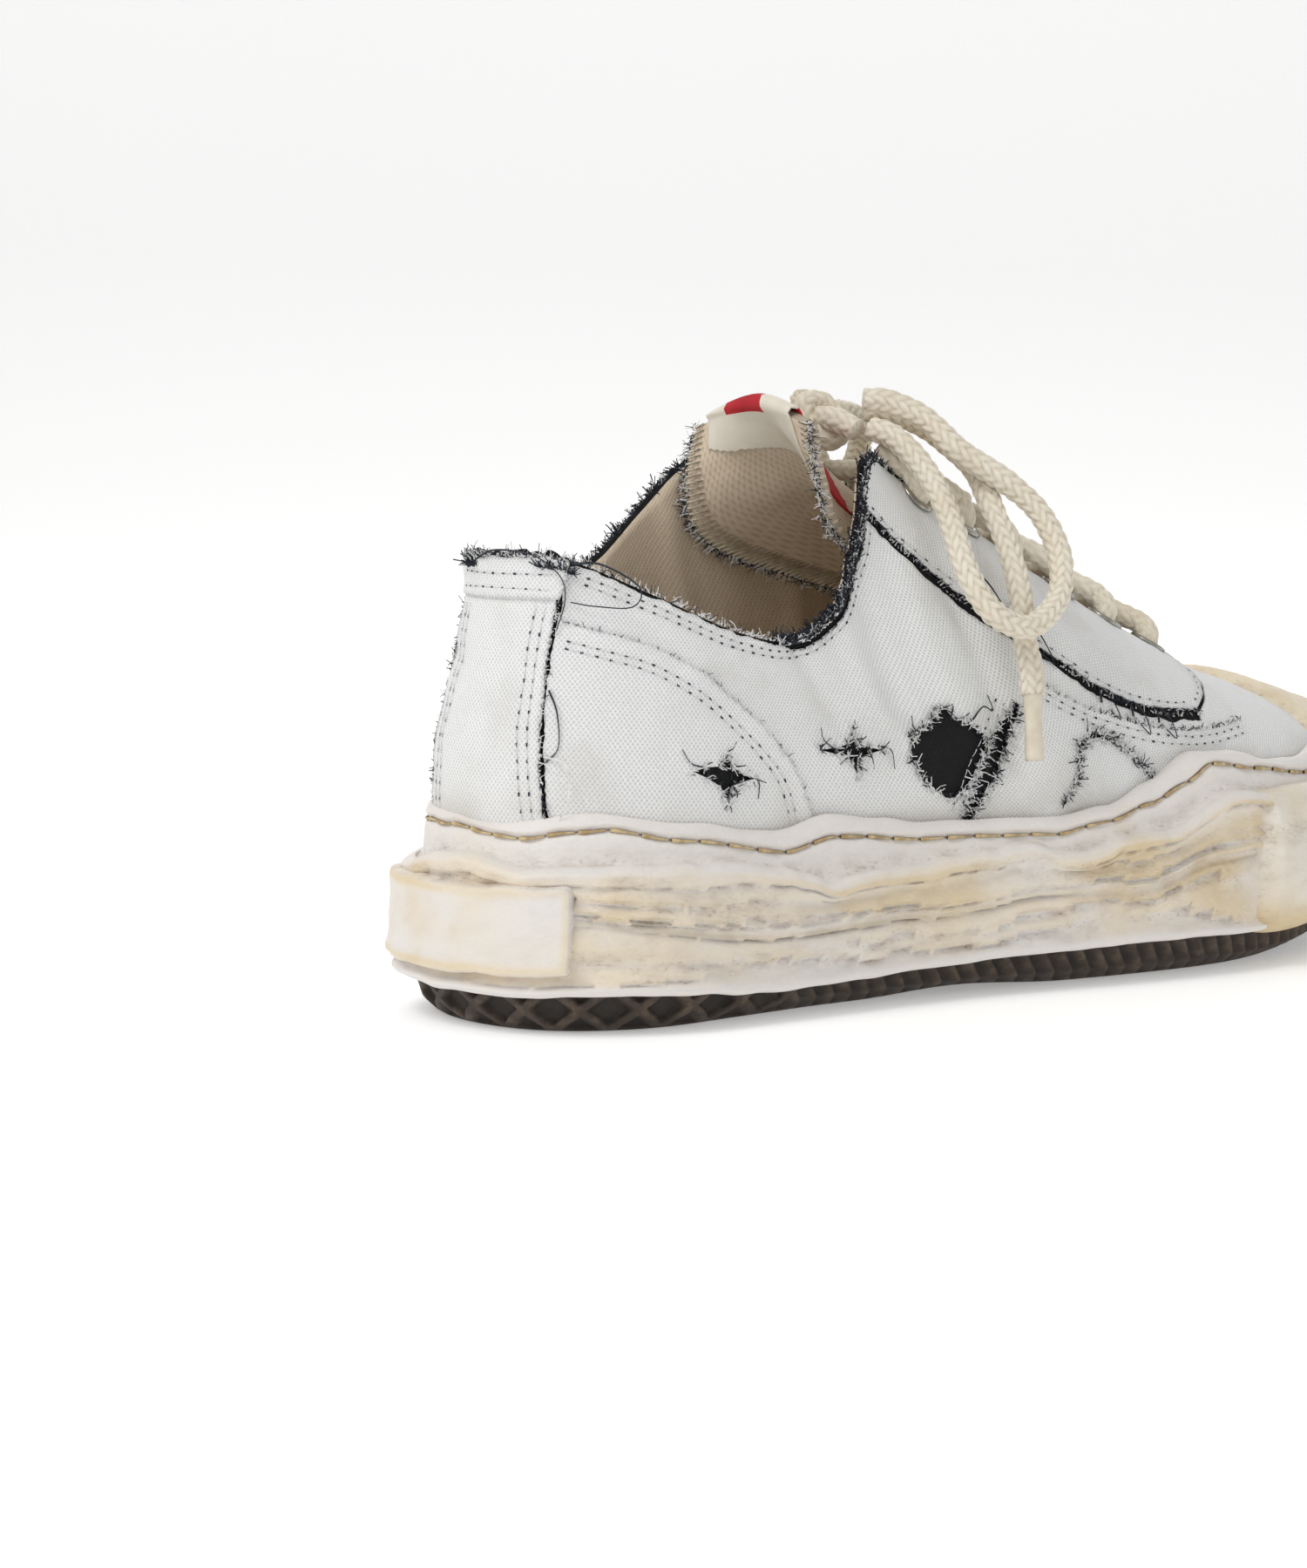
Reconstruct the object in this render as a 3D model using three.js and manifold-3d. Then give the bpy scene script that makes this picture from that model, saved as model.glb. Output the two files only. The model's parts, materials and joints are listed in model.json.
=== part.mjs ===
// A worn low-top canvas sneaker for the right foot, about EU 42, standing on its sole.
//
// Frame: millimetres, +X towards the toe, +Y towards the medial side, +Z up.
// The ground is Z = 0 and the origin is under the middle of the shoe.
//
// The upper hangs on a ring of ribs. Each rib leaves the sole at its foot, runs up the side as one
// cubic curve and ends on the top line: the collar, the throat, or the ridge over the toes. Every
// other piece is worked out from the same ribs: the cup and outsole are offsets of the line of
// feet, and the toe cap, tongue, eyelets and laces are offsets of the upper's own surface.

import * as THREE from 'three';
import { mergeVertices } from 'three/addons/utils/BufferGeometryUtils.js';
import Module from 'manifold-3d';

const wasm = await Module();
wasm.setup();

// Driving dimensions
const LAST_LENGTH = 287.5;    // heel to toe along the line where the upper meets the sole
const BALL_WIDTH = 99.5;      // across the same line at the ball of the foot
const HEEL_HEIGHT = 110;      // top of the collar behind the heel, above the ground
const CANVAS = 2;             // wall of the upper: canvas, raw under layer and lining together
const GAP = 0.3;              // room left between neighbouring pieces
const OUTSOLE_TOP = 9.7;      // thickness of the dark tread
const CUP_BOTTOM = 10.1;      // underside of the pale cup
const FLOOR = 32;             // floor of the cup, under the insole
const INSOLE_THICKNESS = 5;
const SPRING_START = 60;      // where the forefoot begins to leave the ground
const SPRING_RUN = 92;        // how far in front of that the toe ends
const TOE_SPRING = 9.5;       // how far the toe has risen there
const TONGUE_THICKNESS = 3;
const TOE_CAP_THICKNESS = 3;
const PLATE_THICKNESS = 2.6;
const LACE = 6;               // diameter of the cotton cord
const EYELETS_PER_SIDE = 6;
const EYELET_HOLE = 3.9;      // radius of the hole in the canvas
const AROUND = 70;            // steps around the shoe
const UP_THE_SIDE = 6;        // steps from the sole to the top line

// Colours
const COLOURS = {
  canvas: [0xe7e8e9, 0.9, 0], rubber: [0xe9e3d3, 0.62, 0], tread: [0x4b443c, 0.75, 0],
  lining: [0xb9a98c, 0.92, 0], cotton: [0xe2d9c4, 0.88, 0], metal: [0xc9cbcc, 0.35, 1],
  tip: [0xcdbf9f, 0.5, 0],
};

// Ribs. foot: x, y and height where the rib leaves the sole. top: x, y, z on the top line.
// bulge: how far the curve rises straight up from its foot, how far it swells outwards there, and
// how far back and down the top of the curve sets off from the top line.
const HEEL_RIB = { foot: [-144.5, 3, 47], top: [-137.5, 2.5, 110], bulge: [22, 1.5, 0, 20] };
const LATERAL_RIBS = [
  { foot: [-138, -18, 47], top: [-131, -16, 109.5], bulge: [22, 1.5, 0, 20] },
  { foot: [-118, -31, 45], top: [-112, -27, 100.5], bulge: [20, 2, 0.5, 16] },
  { foot: [-90, -34, 43], top: [-90, -30.5, 91.5], bulge: [18, 2.5, 1, 14] },
  { foot: [-64, -35, 42], top: [-72, -31.5, 89.5], bulge: [18, 2.5, 1, 14] },
  { foot: [-42, -36, 42], top: [-59, -31, 99], bulge: [20, 2.5, 2, 18] },
  { foot: [-24, -38, 42], top: [-51, -28.5, 116], bulge: [22, 2.5, 4, 24] },
  { foot: [-6, -41.5, 42], top: [-44, -23.5, 131], bulge: [24, 2.5, 8, 24] },
  { foot: [12, -45, 43], top: [-28, -14, 127], bulge: [24, 2.5, 16, 14] },
  { foot: [32, -48, 44], top: [5, -12, 111], bulge: [20, 3, 16, 8] },
  { foot: [54, -49.5, 46], top: [38, -11, 94], bulge: [16, 3, 16, 5] },
  { foot: [76, -47.5, 49], top: [64, -7.5, 82], bulge: [12, 3, 16, 3] },
  { foot: [96, -42, 51], top: [76, 1.5, 77.5], bulge: [10, 3, 18, 1] },
  { foot: [116, -33, 52], top: [92, 2.5, 72], bulge: [9, 3, 17, 1] },
  { foot: [134, -17, 53], top: [105, 4, 67.5], bulge: [8, 3, 16, 1.5] },
];
const TOE_RIB = { foot: [143, 7, 53], top: [111, 5, 65.5], bulge: [7, 3, 16, 3] };
const MEDIAL_RIBS = [
  { foot: [137, 27, 53], top: [105, 4, 67.5], bulge: [8, 3, 16, 1.5] },
  { foot: [120, 41, 52], top: [92, 2.5, 72], bulge: [9, 3, 17, 1] },
  { foot: [98, 48, 51], top: [76, 1.5, 77.5], bulge: [10, 3, 18, 1] },
  { foot: [76, 50, 49], top: [64, 9.5, 82], bulge: [12, 3, 16, 3] },
  { foot: [54, 48, 46], top: [38, 12.5, 94], bulge: [16, 3, 16, 5] },
  { foot: [31, 43, 44], top: [5, 13, 111], bulge: [20, 3, 16, 8] },
  { foot: [10, 38, 43], top: [-28, 15, 127], bulge: [24, 2.5, 16, 14] },
  { foot: [-9, 34.5, 42], top: [-46, 26, 134], bulge: [24, 2.5, 8, 24] },
  { foot: [-27, 33, 42], top: [-59, 31, 129], bulge: [22, 2.5, 4, 24] },
  { foot: [-45, 33, 42], top: [-70, 33.5, 119], bulge: [20, 2.5, 2, 18] },
  { foot: [-67, 34, 42], top: [-83, 34.5, 107], bulge: [18, 2.5, 1, 14] },
  { foot: [-92, 35.5, 43], top: [-98, 34, 100], bulge: [18, 2.5, 1, 14] },
  { foot: [-120, 36, 45], top: [-115, 31, 102], bulge: [20, 2, 0.5, 16] },
  { foot: [-139, 24, 47], top: [-131.5, 20.5, 109.5], bulge: [22, 1.5, 0, 20] },
];
const RIBS = [HEEL_RIB, ...LATERAL_RIBS, TOE_RIB, ...MEDIAL_RIBS];
const RIB_COUNT = RIBS.length;
const VAMP_RIB = 12;          // the throat ends here, and the ridge over the toes begins
const TOE_RIB_INDEX = RIB_COUNT / 2;

// The wavy top edge of the cup: rib number and height of each crest and trough
const RIM = [
  [0, 52], [1.1, 52.4], [1.85, 48.4], [2.65, 45.5], [3.25, 45], [3.7, 48.2], [4.3, 46.3], [5.9, 44.4],
  [7.45, 45.2], [8.75, 49], [9.3, 52.6], [10.2, 55.7], [11.5, 55], [12.6, 58], [14, 56.5], [15, 58],
  [16.5, 56.5], [17.6, 58], [18.8, 54.5], [19.9, 55.5], [20.8, 51], [21.6, 49], [22.7, 45.4],
  [24.4, 44.6], [25.6, 47], [26.4, 45], [27.3, 46], [28.4, 50.5], [29.2, 50.6],
];

// Side of the cup: share of the height between underside and rim, and how far it stands out
// from the line of feet, at the heel and in front of it
const CUP_PROFILE = [
  [0, 7, 7], [0.06, 11.5, 10.5], [0.22, 9, 9.5], [0.42, 8, 8.5], [0.6, 7.5, 8.5],
  [0.72, 6.5, 8.5], [0.79, 3, 5], [0.93, 1.8, 3.6], [1, 1.2, 2.8],
];

const scaleX = LAST_LENGTH / 287.5;
const scaleY = BALL_WIDTH / 99.5;
const scaleZ = HEEL_HEIGHT / 110;

function catmull(before, from, to, after, share) {
  const square = share * share;
  const cube = square * share;
  const slope = (to - before) * share;
  const bend = (2 * before - 5 * from + 4 * to - after) * square;
  const twist = (3 * from - before - 3 * to + after) * cube;
  return 0.5 * (2 * from + slope + bend + twist);
}

function smoothStep(share) {
  return share * share * (3 - 2 * share);
}

function mix(from, to, share) {
  return from + (to - from) * share;
}

function wrap(position) {
  return ((position % RIB_COUNT) + RIB_COUNT) % RIB_COUNT;
}

// One number of every rib, read smoothly around the ring
function aroundRing(read, position) {
  const whole = Math.floor(position);
  const at = (step) => read(RIBS[wrap(whole + step)]);
  return catmull(at(-1), at(0), at(1), at(2), position - whole);
}

// A smooth line through a list of points, straight on past its ends
function alongLine(points, position) {
  const last = points.length - 1;
  const whole = Math.min(Math.floor(position), last - 1);
  const beyond = (near, far) => near.map((value, axis) => 2 * value - far[axis]);
  const before = whole > 0 ? points[whole - 1] : beyond(points[0], points[1]);
  const after = whole + 2 <= last ? points[whole + 2] : beyond(points[last], points[last - 1]);
  const share = position - whole;
  return points[whole].map((value, axis) => (
    catmull(before[axis], value, points[whole + 1][axis], after[axis], share)
  ));
}

const RIDGE = RIBS.slice(VAMP_RIB, TOE_RIB_INDEX + 1).map((rib) => rib.top);
const TOP_LINE = [];
for (let step = 0; step <= 2 * VAMP_RIB; step += 1) {
  TOP_LINE.push(RIBS[wrap(step - VAMP_RIB)].top);
}

function scaled(x, y, z) {
  return new THREE.Vector3(x * scaleX, y * scaleY, z * scaleZ);
}

// The top line: the ridge is shared by both sides, so it reads the same from either of them
function topPoint(position) {
  const around = wrap(position);
  const side = Math.min(around, RIB_COUNT - around);
  const point = side >= VAMP_RIB
    ? alongLine(RIDGE, side - VAMP_RIB)
    : alongLine(TOP_LINE, wrap(around + VAMP_RIB));
  return scaled(...point);
}

function footPoint(position) {
  return scaled(
    aroundRing((rib) => rib.foot[0], position),
    aroundRing((rib) => rib.foot[1], position),
    aroundRing((rib) => rib.foot[2], position),
  );
}

// Level direction that points away from the shoe at a foot
function outwards(position) {
  const step = 0.02;
  const along = footPoint(position + step).sub(footPoint(position - step));
  return new THREE.Vector3(along.y, -along.x, 0).normalize();
}

function toeSpring(x) {
  const share = Math.max(0, (x / scaleX - SPRING_START) / SPRING_RUN);
  return TOE_SPRING * share * share;
}

// The upper's outer surface. height runs from -1 on the cup's floor through 0 at the rib's foot
// to 1 on the top line.
function wallPoint(position, height) {
  const foot = footPoint(position);
  if (height <= 0) {
    const bottom = FLOOR + GAP + toeSpring(foot.x);
    return new THREE.Vector3(foot.x, foot.y, mix(foot.z, bottom, -height));
  }
  const [rise, swell, reach, drop] = [0, 1, 2, 3].map((index) => (
    aroundRing((rib) => rib.bulge[index], position)
  ));
  const top = topPoint(position);
  const out = outwards(position);
  const low = foot.clone().addScaledVector(out, swell);
  low.z += rise;
  const plan = new THREE.Vector3(foot.x - top.x, foot.y - top.y, 0);
  const back = plan.length() > 1 ? plan.normalize() : out;
  const high = top.clone().addScaledVector(back, reach);
  high.z -= drop;
  return new THREE.CubicBezierCurve3(foot, low, high, top).getPoint(height);
}

// Measured just under the top line, because the ridge turns back on itself at the toe
function sideNormal(position, height) {
  const step = 0.02;
  const level = Math.min(height, 1 - step);
  const up = wallPoint(position, level + step).sub(wallPoint(position, level));
  const along = wallPoint(position + step, level).sub(wallPoint(position - step, level));
  return along.cross(up).normalize();
}

// Outward normal of the upper. On the ridge both sides give the same one.
function wallNormal(position, height) {
  if (height <= 0) {
    return outwards(position);
  }
  const around = wrap(position);
  const onRidge = around >= VAMP_RIB && around <= RIB_COUNT - VAMP_RIB;
  const normal = sideNormal(position, height);
  if (height === 1 && onRidge) {
    normal.add(sideNormal(RIB_COUNT - around, height)).normalize();
  }
  return normal;
}

function offWall(position, height, distance) {
  return wallPoint(position, height).addScaledVector(wallNormal(position, height), distance);
}

function rimHeight(position) {
  const around = wrap(position);
  const next = RIM.findIndex((knot) => knot[0] > around);
  const to = next < 0 ? [RIB_COUNT, RIM[0][1]] : RIM[next];
  const from = next < 0 ? RIM[RIM.length - 1] : RIM[next - 1];
  const share = (around - from[0]) / (to[0] - from[0]);
  return mix(from[1], to[1], smoothStep(share)) * scaleZ;
}

// How much a place belongs to the heel: 1 behind it, 0 from the waist on
function heelShare(position) {
  const start = -60 * scaleX;
  const end = -135 * scaleX;
  const share = (footPoint(position).x - start) / (end - start);
  return smoothStep(THREE.MathUtils.clamp(share, 0, 1));
}

// A point beside the line of feet: out by a distance, at a height above the sprung ground
function besideFeet(position, distance, height) {
  const foot = footPoint(position);
  const out = outwards(position);
  return new THREE.Vector3(foot.x + out.x * distance, foot.y + out.y * distance, height);
}

function cupOffset(position, share) {
  const next = Math.max(1, CUP_PROFILE.findIndex((row) => row[0] >= share));
  const [lowShare, lowHeel, lowFront] = CUP_PROFILE[next - 1];
  const [highShare, highHeel, highFront] = CUP_PROFILE[next];
  const along = (share - lowShare) / (highShare - lowShare);
  return mix(mix(lowFront, highFront, along), mix(lowHeel, highHeel, along), heelShare(position));
}

function cupPoint(position, share, extra = 0) {
  const point = besideFeet(position, cupOffset(position, share) + extra, 0);
  point.z = mix(CUP_BOTTOM + toeSpring(point.x), rimHeight(position), share);
  return point;
}

// Geometry helpers

function geometryFrom(points, faces) {
  const geometry = new THREE.BufferGeometry();
  geometry.setAttribute('position', new THREE.Float32BufferAttribute(points, 3));
  geometry.setIndex(faces);
  return geometry;
}

function solidFrom(geometry) {
  const bare = geometry.index ? geometry.clone() : geometry;
  bare.deleteAttribute('normal');
  bare.deleteAttribute('uv');
  const merged = mergeVertices(bare, 1e-3);
  const faces = [];
  for (let index = 0; index < merged.index.count; index += 3) {
    const corners = [0, 1, 2].map((corner) => merged.index.getX(index + corner));
    if (new Set(corners).size === 3) {
      faces.push(...corners);
    }
  }
  return new wasm.Manifold(new wasm.Mesh({
    numProp: 3,
    vertProperties: new Float32Array(merged.attributes.position.array),
    triVerts: new Uint32Array(faces),
  }));
}

function geometryOf(solid) {
  const mesh = solid.getMesh();
  return geometryFrom(Array.from(mesh.vertProperties), Array.from(mesh.triVerts));
}

// Joins sections into a skin. Each section lists its outer points upwards and then its inner
// points downwards. A closed sweep comes back to its first section; an open one gets two ends.
// folded says where the two sides meet on the ridge, so that no top face is wanted.
function sweep(sections, { closed = false, folded = () => false } = {}) {
  const size = sections[0].length;
  const points = sections.flat().flatMap((point) => [point.x, point.y, point.z]);
  const faces = [];
  const spans = closed ? sections.length : sections.length - 1;
  for (let span = 0; span < spans; span += 1) {
    const here = span * size;
    const there = ((span + 1) % sections.length) * size;
    for (let edge = 0; edge < size; edge += 1) {
      const next = (edge + 1) % size;
      if (edge === size / 2 - 1 && folded(span)) {
        continue;
      }
      faces.push(here + edge, there + edge, there + next);
      faces.push(here + edge, there + next, here + next);
    }
  }
  if (!closed) {
    const last = (sections.length - 1) * size;
    for (let edge = 0; edge < size / 2 - 1; edge += 1) {
      const across = size - 1 - edge;
      faces.push(edge, edge + 1, across - 1, edge, across - 1, across);
      faces.push(last + edge, last + across - 1, last + edge + 1);
      faces.push(last + edge, last + across, last + across - 1);
    }
  }
  return geometryFrom(points, faces);
}

// Joins level rings into a closed body, with a ladder of triangles across both ends
function loft(rings) {
  const count = rings[0].length;
  const points = rings.flat().flatMap((point) => [point.x, point.y, point.z]);
  const faces = [];
  for (let level = 0; level < rings.length - 1; level += 1) {
    for (let step = 0; step < count; step += 1) {
      const here = level * count + step;
      const next = level * count + ((step + 1) % count);
      faces.push(here, next, next + count, here, next + count, here + count);
    }
  }
  const last = (rings.length - 1) * count;
  for (let step = 0; step < count / 2; step += 1) {
    const across = (count - step) % count;
    const before = count - step - 1;
    if (step > 0) {
      faces.push(step, across, step + 1);
      faces.push(last + step, last + step + 1, last + across);
    }
    if (step + 1 < before) {
      faces.push(step + 1, across, before);
      faces.push(last + step + 1, last + before, last + across);
    }
  }
  return geometryFrom(points, faces);
}

// A cord or rod along a smooth line through the points, as a prism of a few sides
function tube(points, diameter, cornerCount, steps) {
  const corners = Array.from({ length: cornerCount }, (unused, corner) => {
    const turn = (corner / cornerCount) * Math.PI * 2;
    return new THREE.Vector2(Math.cos(turn), Math.sin(turn)).multiplyScalar(diameter / 2);
  });
  const extrudePath = new THREE.CatmullRomCurve3(points, false, 'centripetal');
  return new THREE.ExtrudeGeometry(new THREE.Shape(corners), { steps, extrudePath });
}

function positions(count = AROUND) {
  return Array.from({ length: count }, (unused, step) => (step * RIB_COUNT) / count);
}

const shoe = new THREE.Group();

function addPiece(name, geometry, colour) {
  const [color, roughness, metalness] = COLOURS[colour];
  const material = new THREE.MeshStandardMaterial({ color, roughness, metalness });
  geometry.computeVertexNormals();
  const mesh = new THREE.Mesh(geometry, material);
  mesh.name = name;
  shoe.add(mesh);
  return mesh;
}

// Upper

const WALL_HEIGHTS = [-1, -0.5, 0];
for (let step = 1; step <= UP_THE_SIDE; step += 1) {
  WALL_HEIGHTS.push(step / UP_THE_SIDE);
}

function onRidge(position) {
  return position >= VAMP_RIB && position < RIB_COUNT - VAMP_RIB;
}

function upperShell() {
  const sections = positions().map((position) => {
    const outer = WALL_HEIGHTS.map((height) => wallPoint(position, height));
    const inner = WALL_HEIGHTS.map((height) => offWall(position, height, -CANVAS));
    return [...outer, ...inner.reverse()];
  });
  const folded = (span) => onRidge((span * RIB_COUNT) / AROUND);
  return solidFrom(sweep(sections, { closed: true, folded }));
}

// Eyelets sit a fixed way in from the edge of the throat, evenly spaced along it
const EYELET_FRONT = 60;
const EYELET_PITCH = 16.6;
const EYELET_INSET = 10;
const EYELET_SIDES = 10;

function insetHeight(position, inset) {
  let height = 1;
  let last = wallPoint(position, height);
  let run = 0;
  while (run < inset) {
    height -= 0.005;
    const point = wallPoint(position, height);
    run += point.distanceTo(last);
    last = point;
  }
  return height;
}

function eyeletPlace(number, medial) {
  const target = (EYELET_FRONT - number * EYELET_PITCH) * scaleX;
  let low = 7;
  let high = VAMP_RIB;
  for (let round = 0; round < 30; round += 1) {
    const middle = (low + high) / 2;
    const position = medial ? RIB_COUNT - middle : middle;
    if (wallPoint(position, insetHeight(position, EYELET_INSET)).x < target) {
      low = middle;
    } else {
      high = middle;
    }
  }
  const position = medial ? RIB_COUNT - low : low;
  const height = insetHeight(position, EYELET_INSET);
  return { position, point: wallPoint(position, height), normal: wallNormal(position, height) };
}

function turnedTo(geometry, place) {
  const up = new THREE.Vector3(0, 1, 0);
  geometry.applyQuaternion(new THREE.Quaternion().setFromUnitVectors(up, place.normal));
  geometry.translate(place.point.x, place.point.y, place.point.z);
  return geometry;
}

function eyeletRing() {
  const flange = 5.2;
  const flangeThickness = 0.9;
  const seat = 3 * GAP;
  const barrel = EYELET_HOLE - GAP;
  const bore = 2.8;
  const inside = -CANVAS - 0.2;
  const outline = [
    [bore, inside], [barrel, inside], [barrel, seat], [flange, seat],
    [flange - 0.6, seat + flangeThickness], [bore, seat + flangeThickness], [bore, inside],
  ];
  return new THREE.LatheGeometry(outline.map(([x, y]) => new THREE.Vector2(x, y)), EYELET_SIDES);
}

function eyeletCutter() {
  const reach = 2 * CANVAS;
  const outline = [[0, -reach], [EYELET_HOLE, -reach], [EYELET_HOLE, reach], [0, reach]];
  return new THREE.LatheGeometry(outline.map(([x, y]) => new THREE.Vector2(x, y)), EYELET_SIDES);
}

const sides = [['lateral', false], ['medial', true]];
const eyelets = { lateral: [], medial: [] };
let upper = upperShell();
for (const [side, medial] of sides) {
  for (let number = 0; number < EYELETS_PER_SIDE; number += 1) {
    const place = eyeletPlace(number, medial);
    eyelets[side].push(place);
    upper = upper.subtract(solidFrom(turnedTo(eyeletCutter(), place)));
  }
}
addPiece('upper', geometryOf(upper), 'canvas');
for (const [side] of sides) {
  eyelets[side].forEach((place, index) => {
    const ring = solidFrom(turnedTo(eyeletRing(), place));
    addPiece(`eyelet_${side}_${index + 1}`, geometryOf(ring), 'metal');
  });
}

// Sole

function ring(offset, height, count = AROUND) {
  return positions(count).map((position) => {
    const point = besideFeet(position, offset(position), 0);
    point.z = height(position, point);
    return point;
  });
}

// Rib height at which the upper reaches a level
function heightAbove(position, level) {
  let height = 0;
  while (wallPoint(position, height).z < level) {
    height += 0.01;
  }
  return height;
}

// How far the upper has swelled past its foot by a level
function swellAt(position, level) {
  const foot = footPoint(position);
  return wallPoint(position, heightAbove(position, level)).sub(foot).dot(outwards(position));
}

const RIM_LIP = 0.8;          // the cup's edge slopes this far down to the canvas

function cup() {
  const outer = CUP_PROFILE.map(([share]) => (
    positions().map((position) => cupPoint(position, share))
  ));
  const lip = (position) => rimHeight(position) - RIM_LIP;
  const innerWall = [1, 0.5, 0].map((share) => {
    const level = (position) => mix(footPoint(position).z, lip(position), share);
    return ring((position) => swellAt(position, level(position)) + mix(1.2, 1.8, share) * GAP, level);
  });
  const innerFloor = ring(() => GAP, (position, point) => FLOOR + toeSpring(point.x));
  return loft([...outer, ...innerWall, innerFloor]);
}

function insole() {
  const inset = () => -CANVAS - 2 * GAP;
  const bottom = ring(inset, (position, point) => FLOOR + GAP + toeSpring(point.x), AROUND / 2);
  const top = ring(inset, (position, point) => FLOOR + INSOLE_THICKNESS + toeSpring(point.x), AROUND / 2);
  return loft([bottom, top]);
}

// The tread's edge flares upwards; the waist is lifted off the ground between heel and ball
const WAIST_LIFT = 1.2;

function groundLift(x) {
  const waist = (x / scaleX + 22) / 32;
  const lift = Math.abs(waist) < 1 ? WAIST_LIFT * (Math.cos(waist * Math.PI) + 1) / 2 : 0;
  return lift + toeSpring(x);
}

function treadEdge(heelOffset, frontOffset) {
  return (position) => mix(frontOffset, heelOffset, heelShare(position));
}

function outsoleBody() {
  const count = 60;
  const bottom = ring(treadEdge(0, -5), (position, point) => groundLift(point.x), count);
  const bevel = ring(treadEdge(3.5, 1), (position, point) => 3.5 + toeSpring(point.x), count);
  const top = ring(treadEdge(5.5, 4), (position, point) => OUTSOLE_TOP + toeSpring(point.x), count);
  return solidFrom(loft([bottom, bevel, top]));
}

// Grooves of the tread: slanting channels, cut in two directions so that diamond lugs are left
const GROOVE_PITCH = 40;
const GROOVE_WIDTH = 3.4;
const GROOVE_DEPTH = 2.4;
const GROOVE_SLANT = THREE.MathUtils.degToRad(38);

function groove(x, slant) {
  const outline = new THREE.Shape([
    new THREE.Vector2(-GROOVE_WIDTH, -1), new THREE.Vector2(GROOVE_WIDTH, -1),
    new THREE.Vector2(GROOVE_WIDTH / 3, GROOVE_DEPTH), new THREE.Vector2(-GROOVE_WIDTH / 3, GROOVE_DEPTH),
  ]);
  const length = 4 * BALL_WIDTH;
  const bar = new THREE.ExtrudeGeometry(outline, { depth: length, bevelEnabled: false });
  bar.translate(0, 0, -length / 2);
  bar.rotateX(Math.PI / 2);
  bar.rotateZ(slant);
  bar.translate(x, 0, groundLift(x));
  return solidFrom(bar);
}

function outsole() {
  let body = outsoleBody();
  for (let x = -170; x <= 170; x += GROOVE_PITCH) {
    body = body.subtract(groove(x, GROOVE_SLANT));
    body = body.subtract(groove(x, -GROOVE_SLANT));
  }
  return geometryOf(body);
}

addPiece('outsole', outsole(), 'tread');
addPiece('sidewall', geometryOf(solidFrom(cup())), 'rubber');
addPiece('insole', geometryOf(solidFrom(insole())), 'lining');

// Pieces that stand proud of the cup: the blank plate on the heel and the roll around the toe

function proudBand(from, to, steps, rows) {
  const sections = [];
  for (let step = 0; step <= steps; step += 1) {
    const position = mix(from, to, step / steps);
    const outer = rows.map((row) => row(position, true));
    const inner = rows.map((row) => row(position, false));
    sections.push([...outer, ...inner.reverse()]);
  }
  return geometryOf(solidFrom(sweep(sections)));
}

function cupShareAt(position, height) {
  const bottom = CUP_BOTTOM + toeSpring(cupPoint(position, 0).x);
  return (height - bottom) / (rimHeight(position) - bottom);
}

function plateRow(height) {
  return (position, outside) => (
    cupPoint(position, cupShareAt(position, height), GAP + (outside ? PLATE_THICKNESS : 0.2))
  );
}
addPiece('heel_plate', proudBand(-1.25, 1.35, 12, [13.5, 21, 29, 36].map(plateRow)), 'rubber');

// Toe roll: share of the cup's height, and how thick it is there
const ROLL = [[-0.1, 1.5], [0.06, 4.4], [0.22, 5.2], [0.42, 5], [0.6, 4], [0.72, 1.2]];

function rollRow([share, thickness]) {
  return (position, outside) => {
    const held = Math.max(share, 0.06);
    const point = cupPoint(position, held, outside ? GAP + thickness : 1.5 * GAP);
    if (share < held) {
      point.z += (share - held) * (rimHeight(position) - CUP_BOTTOM);
    }
    return point;
  };
}
const ROLL_START = 10.95;
addPiece(
  'toe_bumper',
  proudBand(ROLL_START, RIB_COUNT - ROLL_START, 26, ROLL.map(rollRow)),
  'rubber',
);

// Toe cap: a skin over the front of the upper, from just above the cup's rim to the ridge

const CAP_REAR_RIDGE = 93;    // x of the cap's rear edge on the ridge
const CAP_REAR_RIM = 102;     // and where it meets the cup
const CAP_ACROSS = 26;
const CAP_UP = 6;

function capHeight(position, row) {
  const start = heightAbove(position, rimHeight(position) + 2 * GAP);
  return row === CAP_UP ? 1 : mix(start, 1, row / CAP_UP);
}

function capRear(row, medial) {
  const target = mix(CAP_REAR_RIM, CAP_REAR_RIDGE, row / CAP_UP) * scaleX;
  let low = 11;
  let high = TOE_RIB_INDEX;
  for (let round = 0; round < 24; round += 1) {
    const middle = (low + high) / 2;
    const position = medial ? RIB_COUNT - middle : middle;
    if (wallPoint(position, capHeight(position, row)).x < target) {
      low = middle;
    } else {
      high = middle;
    }
  }
  return medial ? RIB_COUNT - low : low;
}

function toeCap() {
  const sections = [];
  const rears = Array.from({ length: CAP_UP + 1 }, (unused, row) => [capRear(row, false), capRear(row, true)]);
  for (let step = 0; step <= CAP_ACROSS; step += 1) {
    const outer = [];
    const inner = [];
    for (let row = 0; row <= CAP_UP; row += 1) {
      const position = mix(...rears[row], step / CAP_ACROSS);
      const height = capHeight(position, row);
      outer.push(offWall(position, height, GAP + TOE_CAP_THICKNESS));
      inner.push(offWall(position, height, mix(2, 3, row / CAP_UP) * GAP));
    }
    sections.push([...outer, ...inner.reverse()]);
  }
  return geometryOf(solidFrom(sweep(sections, { folded: () => true })));
}
addPiece('toe_cap', toeCap(), 'rubber');

// Tongue: under the throat it keeps a steady way inside the canvas; above, it stands free

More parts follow.
